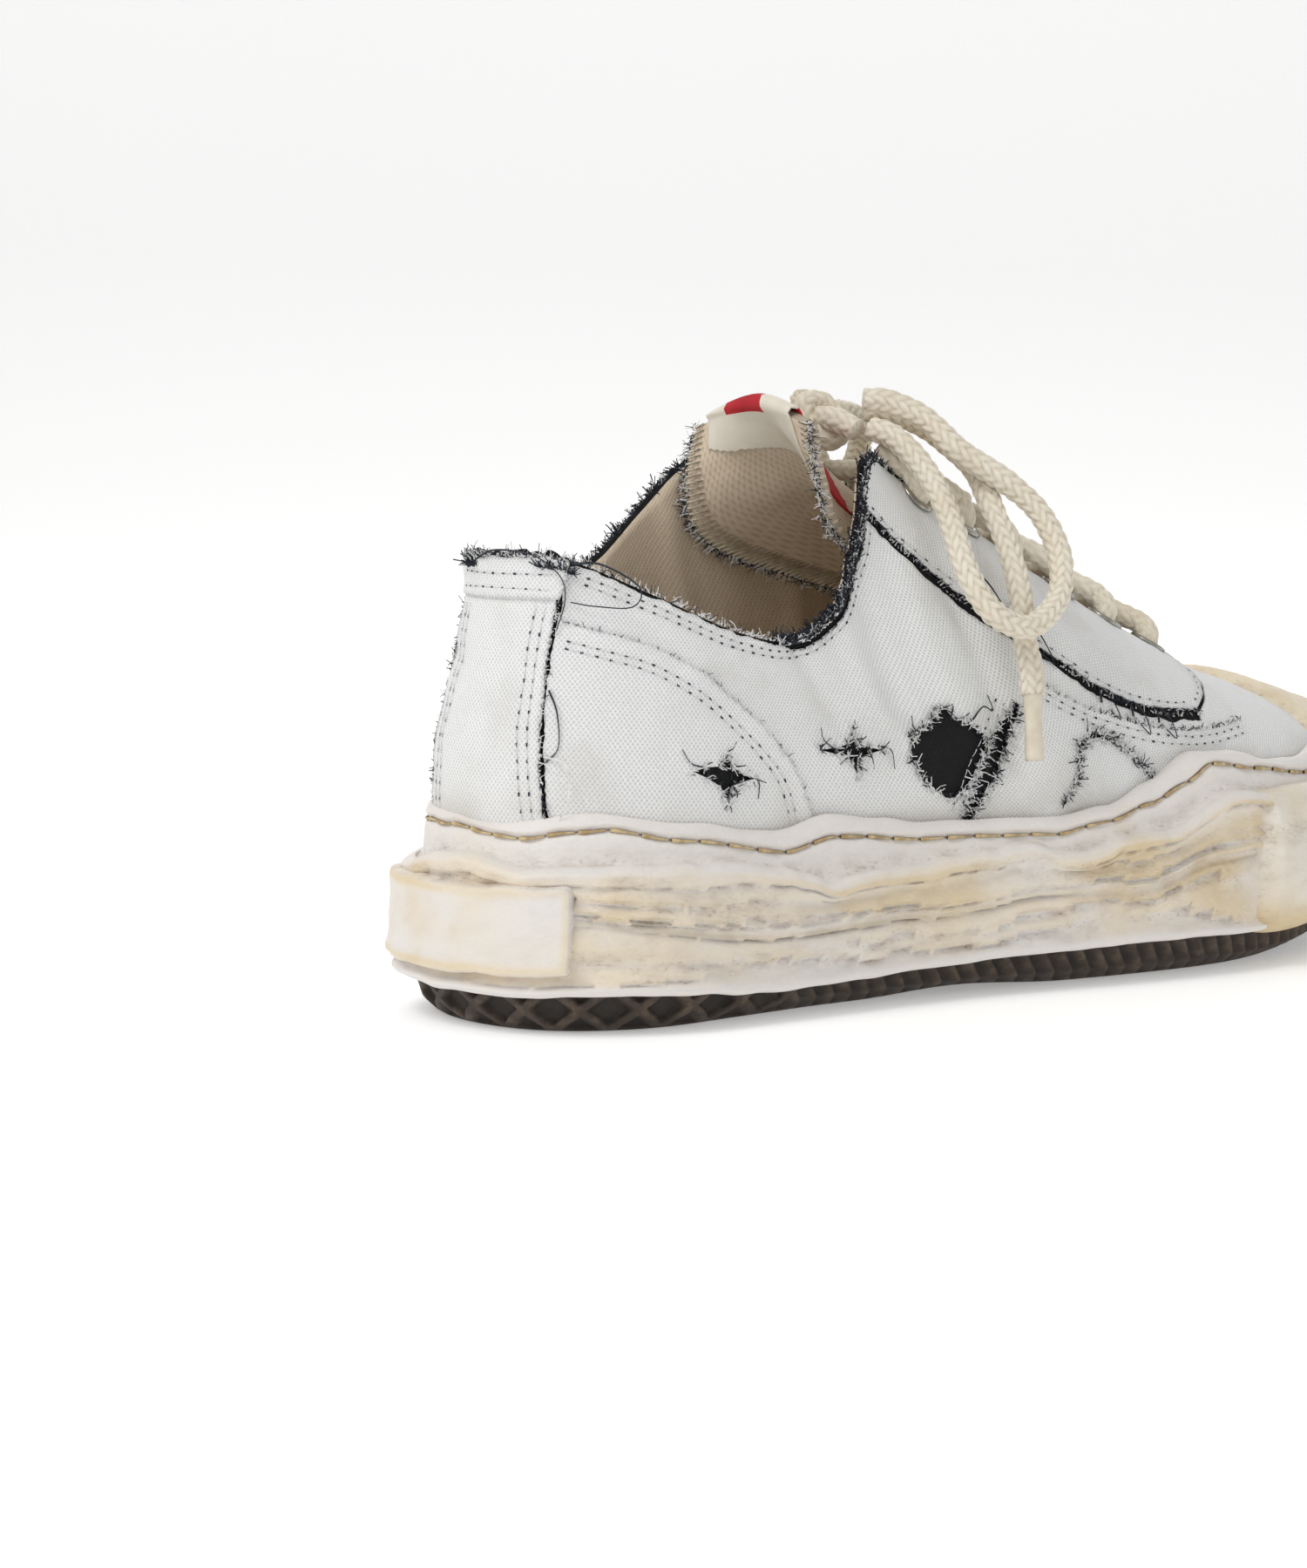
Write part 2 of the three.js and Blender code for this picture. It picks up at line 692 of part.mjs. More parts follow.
const TONGUE_CLEAR = CANVAS + 4 * GAP;
const TONGUE_TOP = [
  { edge: [-58, -21, 141], centre: [-57, 2, 146.5], far: [-56, 25, 139] },
  { edge: [-56, -22.5, 127], centre: [-49, 2, 139], far: [-59, 27, 125] },
  { edge: [-47, -23.5, 112], centre: [-39.5, 1.5, 131], far: [-51, 28, 111] },
];

function tongueSection(centres, edges, thickness) {
  const outer = [edges[0], ...centres, edges[1]];
  const along = edges[1].clone().sub(edges[0]).normalize();
  const inner = outer.map((point, index) => {
    const share = index / (outer.length - 1);
    const down = new THREE.Vector3(-0.6, 0, -0.8);
    const inwards = along.clone().multiplyScalar(Math.cos(share * Math.PI));
    return point.clone().addScaledVector(down.add(inwards).normalize(), thickness);
  });
  return [...outer, ...inner.reverse()];
}

function tongueUnderThroat(lateral) {
  const medial = RIB_COUNT - lateral;
  const heights = [0.62, 0.74, 0.86, 0.97];
  const near = heights.map((height) => offWall(lateral, height, -TONGUE_CLEAR));
  const far = heights.map((height) => offWall(medial, height, -TONGUE_CLEAR)).reverse();
  const middle = near[near.length - 1].clone().add(far[0]).multiplyScalar(0.5);
  return tongueSection([...near.slice(1), middle, ...far.slice(0, -1)], [near[0], far[far.length - 1]],
    TONGUE_THICKNESS);
}

function tongueAbove({ edge, centre, far }) {
  const arch = new THREE.CatmullRomCurve3([edge, centre, far].map((point) => scaled(...point)));
  const points = arch.getPoints(8);
  return tongueSection(points.slice(1, -1), [points[0], points[8]], TONGUE_THICKNESS);
}

function tongue() {
  const sections = TONGUE_TOP.map(tongueAbove);
  for (let position = 7.9; position < 12.7; position += 0.4) {
    sections.push(tongueUnderThroat(position));
  }
  return geometryOf(solidFrom(sweep(sections)));
}
addPiece('tongue', tongue(), 'lining');

// Laces. Bars and crossings float clear over the eyelets, the throat's edges and the tongue.

const LACE_SIDES = 6;
const OVER_EYELET = 5.8;      // middle of the cord above the canvas at an eyelet
const OVER_EDGE = 5.8;        // and above the edge of the throat
const OVER_MIDDLE = 1.2;      // and above the line between the two edges

function overEdge(position) {
  return wallPoint(position, 1).addScaledVector(wallNormal(position, 0.96), OVER_EDGE);
}

function overEyelet(place) {
  return place.point.clone().addScaledVector(place.normal, OVER_EYELET);
}

// One strand from an eyelet on one side to an eyelet on the other
function strand(from, to) {
  const sameSide = (share) => mix(from.position, RIB_COUNT - to.position, share);
  const near = overEdge(sameSide(0.25));
  const far = overEdge(RIB_COUNT - sameSide(0.75));
  const middle = overEdge(sameSide(0.5)).add(overEdge(RIB_COUNT - sameSide(0.5)));
  middle.multiplyScalar(0.5);
  middle.z += OVER_MIDDLE;
  return tube([overEyelet(from), near, middle, far, overEyelet(to)], LACE, LACE_SIDES, 5);
}

// From the top eyelet up to the knot
const TO_KNOT = [[-24, -17.5, 129], [-30, -11, 134]];

function mirrored([x, y, z], medial) {
  return medial ? [x, 3 - y, z] : [x, y, z];
}

function cordPoints(route, medial) {
  return route.map((point) => scaled(...mirrored(point, medial)));
}

function laceCrossings() {
  let laces = solidFrom(strand(eyelets.lateral[0], eyelets.medial[0]));
  for (let row = 0; row < EYELETS_PER_SIDE - 1; row += 1) {
    laces = laces.add(solidFrom(strand(eyelets.lateral[row], eyelets.medial[row + 1])));
    laces = laces.add(solidFrom(strand(eyelets.medial[row], eyelets.lateral[row + 1])));
  }
  for (const [side, medial] of sides) {
    const start = overEyelet(eyelets[side][EYELETS_PER_SIDE - 1]);
    const route = [start, ...cordPoints(TO_KNOT, medial)];
    laces = laces.add(solidFrom(tube(route, LACE, LACE_SIDES, 4)));
  }
  return geometryOf(laces);
}
addPiece('lace_crossings', laceCrossings(), 'cotton');

// The bow: a knot in front of the tongue's top, and on each side a loop and a loose end that lie
// against the quarter. The loose end runs inside the loop and is closed by a tip.
const KNOT = { centre: [-38, 1.5, 140.5], radii: [7, 8.5, 6.5] };
const LOOP = [
  [-34, -10.5, 146.5], [-29, -14, 146], [-22, -20, 142], [-16, -26, 134], [-6, -33, 126],
  [1, -38, 118], [3, -43, 107], [-2, -47, 97], [-14, -49, 91], [-24, -47, 95], [-28, -42, 105],
  [-27, -34, 119], [-27, -26, 129], [-30, -18, 137], [-33, -12, 139.5],
];
const LOOSE_END = [
  [-27, -4, 144], [-15, -9, 141], [-7, -20, 131], [-8, -29, 121], [-8, -36, 109], [-8, -40, 99],
  [-9, -42.5, 89], [-10, -46, 81], [-11, -48, 74],
];
const TIP_END = [-12, -50, 58];
const TIP = 4.6;              // diameter of the stiffened tip

function knot() {
  const ball = new THREE.SphereGeometry(1, 10, 6);
  ball.scale(...KNOT.radii);
  ball.translate(...scaled(...KNOT.centre));
  return geometryOf(solidFrom(ball));
}
addPiece('lace_knot', knot(), 'cotton');

for (const [side, medial] of sides) {
  const loop = tube(cordPoints(LOOP, medial), LACE, LACE_SIDES, 32);
  addPiece(`lace_loop_${side}`, geometryOf(solidFrom(loop)), 'cotton');
  const looseEnd = tube(cordPoints(LOOSE_END, medial), LACE, LACE_SIDES, 20);
  addPiece(`lace_end_${side}`, geometryOf(solidFrom(looseEnd)), 'cotton');
  const [start, end] = cordPoints([LOOSE_END[LOOSE_END.length - 1], TIP_END], medial);
  const along = end.clone().sub(start).normalize();
  const tip = tube([start.addScaledVector(along, 3 * GAP), end], TIP, LACE_SIDES, 1);
  addPiece(`lace_tip_${side}`, geometryOf(solidFrom(tip)), 'tip');
}

export default shoe;
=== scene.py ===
"""A worn low-top canvas sneaker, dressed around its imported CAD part.

The CAD part is a ring of ribs with everything else offset from it. This script repeats the ribs
and makes each visible piece from the same surface: raw canvas panels with thickness over a dark
under layer, stitches, frays, a melted rubber sole, a ribbed tread and braided laces.

Lengths are in millimetres until a mesh is made. A place on the upper is (t, v): t is the rib
position, 0 at the heel, 15 at the toe, positive on the lateral side; v is 0 at the rib's foot and
1 on the top line. The cloth plane unrolls the upper: x runs along the side, y up it.
"""

import itertools
import json
import math

import bpy
import numpy as np
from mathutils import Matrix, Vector
from mathutils.geometry import delaunay_2d_cdt
from mathutils.kdtree import KDTree

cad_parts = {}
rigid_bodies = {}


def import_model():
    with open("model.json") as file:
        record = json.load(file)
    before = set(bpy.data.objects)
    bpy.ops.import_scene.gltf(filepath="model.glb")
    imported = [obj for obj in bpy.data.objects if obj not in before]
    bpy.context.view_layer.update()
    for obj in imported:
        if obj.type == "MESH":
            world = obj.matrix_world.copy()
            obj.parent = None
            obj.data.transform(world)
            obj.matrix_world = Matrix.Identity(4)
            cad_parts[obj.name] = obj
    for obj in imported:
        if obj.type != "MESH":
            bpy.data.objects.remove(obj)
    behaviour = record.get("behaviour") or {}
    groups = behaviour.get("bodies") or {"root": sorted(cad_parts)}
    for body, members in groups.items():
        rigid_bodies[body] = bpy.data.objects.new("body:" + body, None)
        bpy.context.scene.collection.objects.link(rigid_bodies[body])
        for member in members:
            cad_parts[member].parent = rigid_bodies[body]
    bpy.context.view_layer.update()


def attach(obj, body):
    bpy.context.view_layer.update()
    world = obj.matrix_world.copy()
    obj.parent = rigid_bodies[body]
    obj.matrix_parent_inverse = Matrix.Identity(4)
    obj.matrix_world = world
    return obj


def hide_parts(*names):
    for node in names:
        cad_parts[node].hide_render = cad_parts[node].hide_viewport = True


for leftover in list(bpy.data.objects):
    bpy.data.objects.remove(leftover)

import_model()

MM = 0.001
FLOOR = 32.0            # floor of the cup, under the insole
INSOLE_THICKNESS = 5.0
LACE = 6.0              # diameter of the cotton cord
TIP = 4.6               # diameter of its stiffened tip
SPRING_START = 60.0     # where the forefoot begins to leave the ground
SPRING_RUN = 92.0
TOE_SPRING = 9.5
OUTSOLE_TOP = 9.7

# ------------------------------------------------------------------ the ring of ribs, as in the CAD

# foot x, y, z; top x, y, z; and how the curve rises, swells, sets back and drops between them
HEEL_RIB = [-144.5, 3, 47, -137.5, 2.5, 110, 22, 1.5, 0, 20]
LATERAL_RIBS = [
    [-138, -18, 47, -131, -16, 109.5, 22, 1.5, 0, 20],
    [-118, -31, 45, -112, -27, 100.5, 20, 2, 0.5, 16],
    [-90, -34, 43, -90, -30.5, 91.5, 18, 2.5, 1, 14],
    [-64, -35, 42, -72, -31.5, 89.5, 18, 2.5, 1, 14],
    [-42, -36, 42, -59, -31, 99, 20, 2.5, 2, 18],
    [-24, -38, 42, -51, -28.5, 116, 22, 2.5, 4, 24],
    [-6, -41.5, 42, -44, -23.5, 131, 24, 2.5, 8, 24],
    [12, -45, 43, -28, -14, 127, 24, 2.5, 16, 14],
    [32, -48, 44, 5, -12, 111, 20, 3, 16, 8],
    [54, -49.5, 46, 38, -11, 94, 16, 3, 16, 5],
    [76, -47.5, 49, 64, -7.5, 82, 12, 3, 16, 3],
    [96, -42, 51, 76, 1.5, 77.5, 10, 3, 18, 1],
    [116, -33, 52, 92, 2.5, 72, 9, 3, 17, 1],
    [134, -17, 53, 105, 4, 67.5, 8, 3, 16, 1.5],
]
TOE_RIB = [143, 7, 53, 111, 5, 65.5, 7, 3, 16, 3]
MEDIAL_RIBS = [
    [137, 27, 53, 105, 4, 67.5, 8, 3, 16, 1.5],
    [120, 41, 52, 92, 2.5, 72, 9, 3, 17, 1],
    [98, 48, 51, 76, 1.5, 77.5, 10, 3, 18, 1],
    [76, 50, 49, 64, 9.5, 82, 12, 3, 16, 3],
    [54, 48, 46, 38, 12.5, 94, 16, 3, 16, 5],
    [31, 43, 44, 5, 13, 111, 20, 3, 16, 8],
    [10, 38, 43, -28, 15, 127, 24, 2.5, 16, 14],
    [-9, 34.5, 42, -46, 26, 134, 24, 2.5, 8, 24],
    [-27, 33, 42, -59, 31, 129, 22, 2.5, 4, 24],
    [-45, 33, 42, -70, 33.5, 119, 20, 2.5, 2, 18],
    [-67, 34, 42, -83, 34.5, 107, 18, 2.5, 1, 14],
    [-92, 35.5, 43, -98, 34, 100, 18, 2.5, 1, 14],
    [-120, 36, 45, -115, 31, 102, 20, 2, 0.5, 16],
    [-139, 24, 47, -131.5, 20.5, 109.5, 22, 1.5, 0, 20],
]
RIBS = np.array([HEEL_RIB, *LATERAL_RIBS, TOE_RIB, *MEDIAL_RIBS], float)
COUNT = len(RIBS)
HALF = COUNT // 2
VAMP = 12               # the throat ends at this rib, and the ridge over the toes begins


def catmull(before, start, end, after, share):
    """A smooth curve through start and end, at a share of the way between them."""
    square = share * share
    cube = square * share
    bend = (2 * before - 5 * start + 4 * end - after) * square
    twist = (3 * start - before - 3 * end + after) * cube
    return 0.5 * (2 * start + (end - before) * share + bend + twist)


def smooth(share):
    share = np.clip(share, 0, 1)
    return share * share * (3 - 2 * share)


def mix(start, end, share):
    return start + (end - start) * share


def unit(vectors):
    return vectors / np.maximum(np.linalg.norm(vectors, axis=-1, keepdims=True), 1e-9)


def bell(offset, width):
    return np.exp(-(offset / width) ** 2)


def between(value, low, rise, high, fall):
    """1 between low and high, easing in over rise and out over fall."""
    return smooth((value - low) / rise) * smooth((high - value) / fall)


def distances(points):
    """Distance along a line of points, from its start to each of them."""
    return np.concatenate([[0], np.cumsum(np.linalg.norm(np.diff(points, axis=0), axis=1))])


def halve(is_low, low, high, steps):
    """Halves each range again and again, and gives the place where is_low ends."""
    for _ in range(steps):
        middle = (low + high) / 2
        below = is_low(middle)
        low, high = np.where(below, middle, low), np.where(below, high, middle)
    return low


def around_ring(columns, t):
    """Columns of the rib table at any rib position, smooth from rib to rib all round."""
    whole = np.floor(t).astype(int)
    share = (t - whole)[..., None]
    near = [RIBS[(whole + step) % COUNT][..., columns] for step in (-1, 0, 1, 2)]
    return catmull(*near, share)


def along_line(points, position):
    """A smooth line through points, read at positions counted in points from its start."""
    padded = np.vstack([2 * points[0] - points[1], points, 2 * points[-1] - points[-2]])
    whole = np.clip(np.floor(position).astype(int), 0, len(points) - 2)
    share = (position - whole)[..., None]
    return catmull(*[padded[whole + step] for step in range(4)], share)


RIDGE = RIBS[VAMP:HALF + 1, 3:6]
TOP_LINE = RIBS[[(step - VAMP) % COUNT for step in range(2 * VAMP + 1)], 3:6]


def top_point(t):
    """The upper's top: the collar and throat line, then the ridge over the toes."""
    around = np.mod(t, COUNT)
    side = np.minimum(around, COUNT - around)
    ridge = along_line(RIDGE, np.clip(side - VAMP, 0, HALF - VAMP))
    line = along_line(TOP_LINE, np.clip(np.mod(around + VAMP, COUNT), 0, 2 * VAMP))
    return np.where((side >= VAMP)[..., None], ridge, line)


def outwards(t):
    """The level direction that points out of the shoe at the ribs' feet."""
    step = 0.02
    along = around_ring([0, 1], t + step) - around_ring([0, 1], t - step)
    level = np.stack([along[..., 1], -along[..., 0], np.zeros(along.shape[:-1])], -1)
    return unit(level)


def toe_spring(x):
    share = np.maximum(0, (x - SPRING_START) / SPRING_RUN)
    return TOE_SPRING * share * share


def wall(t, v):
    """The upper's outer surface. v below 0 goes straight down to the cup's floor at -1, and v
    above 1 goes straight on past the top line."""
    t, v = np.broadcast_arrays(np.asarray(t, float), np.asarray(v, float))
    foot = around_ring([0, 1, 2], t)
    bulge = around_ring([6, 7, 8, 9], t)
    top = top_point(t)
    out = outwards(t)
    low = foot + out * bulge[..., 1:2]
    low[..., 2] += bulge[..., 0]
    plan = foot - top
    plan[..., 2] = 0
    far = np.linalg.norm(plan, axis=-1, keepdims=True) > 1
    high = top + np.where(far, unit(plan), out) * bulge[..., 2:3]
    high[..., 2] -= bulge[..., 3]
    up = np.clip(v, 0, 1)[..., None]
    down = 1 - up
    point = down ** 3 * foot + 3 * down ** 2 * up * low + 3 * down * up ** 2 * high + up ** 3 * top
    over = np.maximum(v - 1, 0)[..., None]
    point = point + over * 3 * (top - high)
    bottom = FLOOR + 0.3 + toe_spring(foot[..., 0])
    point[..., 2] = np.where(v < 0, mix(foot[..., 2], bottom, -v), point[..., 2])
    return point


def side_normal(t, v):
    step = 0.02
    level = np.clip(v, 0, 1 - step)
    up = wall(t, level + step) - wall(t, level)
    along = wall(t + step, level) - wall(t - step, level)
    return unit(np.cross(along, up))


def wall_normal(t, v):
    """The outward normal. Near the ridge it blends with the other side's, so that skins meet."""
    t, v = np.broadcast_arrays(np.asarray(t, float), np.asarray(v, float))
    normal = side_normal(t, v)
    around = np.mod(t, COUNT)
    ridge = (around >= VAMP - 0.5) & (around <= COUNT - VAMP + 0.5)
    share = smooth((v - 0.8) / 0.2) * ridge
    return unit(normal + share[..., None] * side_normal(COUNT - t, v))


def off_wall(t, v, distance):
    return wall(t, v) + wall_normal(t, v) * np.asarray(distance)[..., None]


def beside_feet(t, distance, z):
    """Points at height z, at a distance straight out from the ribs' feet."""
    t, distance = np.broadcast_arrays(np.asarray(t, float), distance)
    plan = around_ring([0, 1], t) + outwards(t)[..., :2] * distance[..., None]
    return np.concatenate([plan, np.broadcast_to(z, plan.shape[:-1])[..., None]], -1)


def heel_share(t):
    """1 at the heel, easing to 0 towards the forefoot."""
    return smooth((around_ring([0], t)[..., 0] + 60) / -75)


def height_at_level(t, z):
    """The v at which the upper reaches a height."""
    low, high = np.full(t.shape, -0.3), np.full(t.shape, 1.0)
    return halve(lambda v: wall(t, v)[..., 2] < z, low, high, 14)


def swell_at(t, z):
    """How far the upper stands out from its foot at a height."""
    off = wall(t, height_at_level(t, z))[..., :2] - around_ring([0, 1], t)
    return (off * outwards(t)[..., :2]).sum(-1)


# The cloth plane: x is the run along the side from the heel, y the run up the rib
GRID_T = np.arange(-HALF, HALF + 0.005, 0.01)
GRID_X = distances(wall(GRID_T, 0.45))
GRID_X -= np.interp(0, GRID_T, GRID_X)
GRID_L = np.linalg.norm(np.diff(wall(GRID_T[:, None], np.linspace(0, 1, 25)[None]), axis=1), axis=2).sum(1)


def to_cloth(t, v):
    t, v = np.broadcast_arrays(np.asarray(t, float), v)
    return np.stack([np.interp(t, GRID_T, GRID_X), v * np.interp(t, GRID_T, GRID_L)], -1)


def from_cloth(points):
    t = np.interp(points[..., 0], GRID_X, GRID_T)
    return t, points[..., 1] / np.interp(t, GRID_T, GRID_L)


# ------------------------------------------------------------------------------- noise and meshes

def lattice(cell, seed):
    """A random value from -1 to 1 for each whole-number cell, the same on every run."""
    value = np.full(cell.shape[:-1], seed * 374761393 & 0x7FFFFFFF, np.int64)
    for axis, prime in enumerate((73856093, 19349663, 83492791)[:cell.shape[-1]]):
        value ^= cell[..., axis] * prime
    value = (value ^ (value >> 13)) * 1274126177 & 0xFFFFFFFF
    value = (value ^ (value >> 16)) * 668265263 & 0xFFFFFFFF
    return (value & 0xFFFFFF) / 0x7FFFFF - 1


def noise(points, scale, seed):
    """Smooth value noise from -1 to 1. scale is the size of its cells, one number or one per axis."""
    points = np.asarray(points, float)
    if points.ndim == 1 or points.shape[-1] > 3:
        points = points[..., None]
    place = points / scale
    cell = np.floor(place).astype(np.int64)
    share = smooth(place - cell)
    total = 0
    for corner in itertools.product((0, 1), repeat=points.shape[-1]):
        weight = np.prod(np.where(corner, share, 1 - share), -1)
        total = total + weight * lattice(cell + np.array(corner), seed)
    return total


def rough_noise(points, scale, seed):
    """Three layers of noise, each half the size and half the height of the one before."""
    total = 0
    for octave in range(3):
        total = total + noise(points, np.asarray(scale) / 2 ** octave, seed + octave) / 2 ** octave
    return total


def grid_faces(rows, columns, closed=False, flip=False):
    """Quads of a grid whose points run row by row. closed joins the last column to the first."""
    across = columns if closed else columns - 1
    row, column = np.meshgrid(np.arange(rows - 1), np.arange(across), indexing="ij")
    after = (column + 1) % columns
    quads = [row * columns + column, row * columns + after]
    quads += [(row + 1) * columns + after, (row + 1) * columns + column]
    quads = np.stack(quads, -1).reshape(-1, 4)
    return quads[:, ::-1] if flip else quads


def add_object(name, points, faces):
    """A smooth mesh object in the scene, from points in metres."""
    mesh = bpy.data.meshes.new(name)
    mesh.from_pydata(np.asarray(points).tolist(), [], faces)
    mesh.polygons.foreach_set("use_smooth", np.full(len(mesh.polygons), True))
    thing = bpy.data.objects.new(name, mesh)
    bpy.context.scene.collection.objects.link(thing)
    return thing, mesh


def make_piece(name, points, faces, material, uv=None, values=None, nodes=()):
    """A mesh object that rides on the shoe. faces is one array or several; values are per point."""
    faces = faces if isinstance(faces, list) else [faces]
    corners = [face for group in faces for face in np.asarray(group).tolist()]
    piece, mesh = add_object(name, np.asarray(points).reshape(-1, 3) * MM, corners)
    indices = np.empty(len(mesh.loops), int)
    mesh.loops.foreach_get("vertex_index", indices)
    if uv is not None:
        uv_layer = mesh.uv_layers.new(name="cloth")
        uv_layer.data.foreach_set("uv", np.asarray(uv, np.float32).reshape(-1, 2)[indices].ravel())
    for key, value in (values or {}).items():
        attribute_layer = mesh.attributes.new(key, "FLOAT", "POINT")
        attribute_layer.data.foreach_set("value", np.asarray(value, np.float32).ravel())
    mesh.validate()
    mesh.update()
    mesh.materials.append(material)
    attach(piece, "root")
    if nodes:
        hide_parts(*nodes)
    return piece


# ------------------------------------------------------------------------------------- materials

def add(tree, kind, inputs=None, **settings):
    node = tree.nodes.new("ShaderNode" + kind)
    for key, value in settings.items():
        setattr(node, key, value)
    for key, value in (inputs or {}).items():
        if isinstance(value, bpy.types.NodeSocket):
            tree.links.new(value, node.inputs[key])
        else:
            node.inputs[key].default_value = value
    return node


def new_material(name, roughness, metallic=0.0, sheen=0.0):
    material = bpy.data.materials.new(name)
    material.use_nodes = True
    shader = material.node_tree.nodes["Principled BSDF"]
    shader.inputs["Roughness"].default_value = roughness
    shader.inputs["Metallic"].default_value = metallic
    shader.inputs["Sheen Weight"].default_value = sheen
    return material, material.node_tree, shader


def colour(red, green, blue):
    """A colour given in the usual 0 to 255 scale, as linear light."""
    return (*[((channel / 255 + 0.055) / 1.055) ** 2.4 for channel in (red, green, blue)], 1)


def maths(tree, operation, first, second=0.0, third=0.0):
    return add(tree, "Math", {0: first, 1: second, 2: third}, operation=operation).outputs[0]


def blend_colours(tree, share, first, second):
    return add(tree, "Mix", {0: share, 6: first, 7: second}, data_type="RGBA").outputs[2]


def attribute(tree, name):
    """A value that the piece carries at each of its points."""
    return add(tree, "Attribute", attribute_name=name).outputs["Fac"]


def surface(tree, shader, tone, strength, depth, height):
    """Gives the shader its colour and a bump, whose depth is in mm."""
    tree.links.new(tone, shader.inputs["Base Color"])
    bump = add(tree, "Bump", {"Strength": strength, "Distance": depth * MM, "Height": height})
    tree.links.new(bump.outputs[0], shader.inputs["Normal"])


def ramp(tree, value, low, high):
    node = add(tree, "MapRange", {0: value, 1: low, 2: high}, interpolation_type="SMOOTHSTEP")
    return node.outputs[0]


def spots(tree, scale, detail=3.0, stretch=None):
    """Noise in object space; scale is in cells per metre."""
    where = add(tree, "TexCoord").outputs["Object"]
    if stretch:
        where = add(tree, "Mapping", {"Vector": where, "Scale": stretch}).outputs[0]
    return add(tree, "TexNoise", {"Vector": where, "Scale": scale, "Detail": detail}).outputs["Fac"]


def weave_height(tree, pitch):
    """Plain weave from the cloth layer, whose unit is a centimetre."""
    where = add(tree, "UVMap", uv_map="cloth").outputs[0]
    parts = add(tree, "SeparateXYZ", {0: where})
    turns = 2 * math.pi * 10 / pitch
    waver = maths(tree, "MULTIPLY", spots(tree, 900.0, 1.0), 1.4)
    across = maths(tree, "SINE", maths(tree, "MULTIPLY_ADD", parts.outputs[0], turns, waver))
    along = maths(tree, "SINE", maths(tree, "MULTIPLY_ADD", parts.outputs[1], turns * 0.8, waver))
    return maths(tree, "MULTIPLY_ADD", maths(tree, "MULTIPLY", across, along), 0.5, 0.5)


def cloth_material(name, base, shade, pitch, depth, grime=None):
    """Woven cloth: base colour, shade in the weave's gaps, pitch and depth of the weave in mm."""
    material, tree, shader = new_material(name, 0.93)
    height = weave_height(tree, pitch)
    tone = blend_colours(tree, ramp(tree, height, 0.05, 0.6), shade, base)
    if grime:
        cloud = ramp(tree, spots(tree, 55.0, 5.0), 0.48, 0.75)
        tone = blend_colours(tree, maths(tree, "MULTIPLY", cloud, 0.28), tone, grime)
        tone = blend_colours(tree, maths(tree, "MULTIPLY", attribute(tree, "grime"), 0.6), tone, grime)
    surface(tree, shader, tone, 0.7, depth, maths(tree, "MULTIPLY_ADD", spots(tree, 1500.0), 0.6, height))
    return material


def thread_material(name, base, other):
    material, tree, shader = new_material(name, 0.9)
    tone = blend_colours(tree, ramp(tree, spots(tree, 420.0), 0.35, 0.65), base, other)
    surface(tree, shader, tone, 0.5, 0.2, spots(tree, 3000.0))
    return material


def rubber_material(name, pale, cream, stain, dirt):
    """Pale melted rubber. The piece says where it is creamy, dirty or dark with its values. Dark is painted
    shade in the stitched groove and under the heel plate's lower edge, and it also darkens the toe roll
    towards its ends.
    """
    material, tree, shader = new_material(name, 0.62)
    creamy, dirty, dark = [attribute(tree, key) for key in ("cream", "dirt", "dark")]
    warm = maths(tree, "MULTIPLY_ADD", spots(tree, 38.0, 5.0), 1.3, -0.62)
    warm = ramp(tree, maths(tree, "ADD", warm, creamy), 0.1, 0.85)
    tone = blend_colours(tree, warm, pale, cream)
    blot = ramp(tree, maths(tree, "MULTIPLY_ADD", creamy, 0.25, spots(tree, 24.0, 4.0)), 0.62, 0.86)
    tone = blend_colours(tree, maths(tree, "MULTIPLY", blot, 0.75), tone, stain)
    speck = ramp(tree, spots(tree, 620.0, 4.0, (1, 1, 2.2)), 0.52, 0.72)
    speck = maths(tree, "MULTIPLY", speck, ramp(tree, dirty, 0.08, 0.8))
    film = maths(tree, "MULTIPLY", ramp(tree, spots(tree, 150.0, 5.0, (1, 1, 2)), 0.35, 0.8), dirty)
    soil = maths(tree, "ADD", maths(tree, "MULTIPLY", speck, 0.4), maths(tree, "MULTIPLY", film, 0.6))
    tone = blend_colours(tree, maths(tree, "MINIMUM", soil, 0.9), tone, dirt)
    # The dark value turns the rubber brown: painted shade in the stitched groove and under the heel plate's
    # lower edge, and a darkening towards the toe roll's ends
    tone = blend_colours(tree, dark, tone, colour(70, 48, 34))
    tree.links.new(maths(tree, "MULTIPLY_ADD", spots(tree, 90.0), 0.3, 0.45), shader.inputs["Roughness"])
    lumps = maths(tree, "MULTIPLY", spots(tree, 170.0), 1.5)
    surface(tree, shader, tone, 0.55, 0.45, maths(tree, "ADD", spots(tree, 700.0, 4.0, (1, 1, 1.6)), lumps))
    return material


WHITE = cloth_material("white_canvas", colour(235, 235, 234), colour(202, 203, 204), 1.15, 0.3,
                       grime=colour(196, 190, 180))
BLACK = cloth_material("black_under_layer", colour(9, 10, 13), colour(2, 2, 3), 1.2, 0.2)
INK = thread_material("black_thread", colour(24, 28, 36), colour(52, 58, 68))
FLUFF = thread_material("white_thread", colour(240, 240, 240), colour(222, 221, 218))
LINING = cloth_material("lining", colour(214, 198, 176), colour(194, 176, 152), 1.3, 0.12,
                        grime=colour(160, 140, 112))
CREAM_THREAD = thread_material("cream_thread", colour(226, 216, 196), colour(206, 194, 172))
SEAM_THREAD = thread_material("sole_thread", colour(206, 186, 144), colour(170, 144, 102))
RUBBER = rubber_material("melted_rubber", colour(225, 220, 215), colour(226, 214, 194),
                         colour(216, 195, 154), colour(146, 118, 90))
TOE_RUBBER = rubber_material("toe_rubber", colour(228, 222, 212), colour(224, 211, 186),
                             colour(208, 186, 142), colour(158, 132, 104))


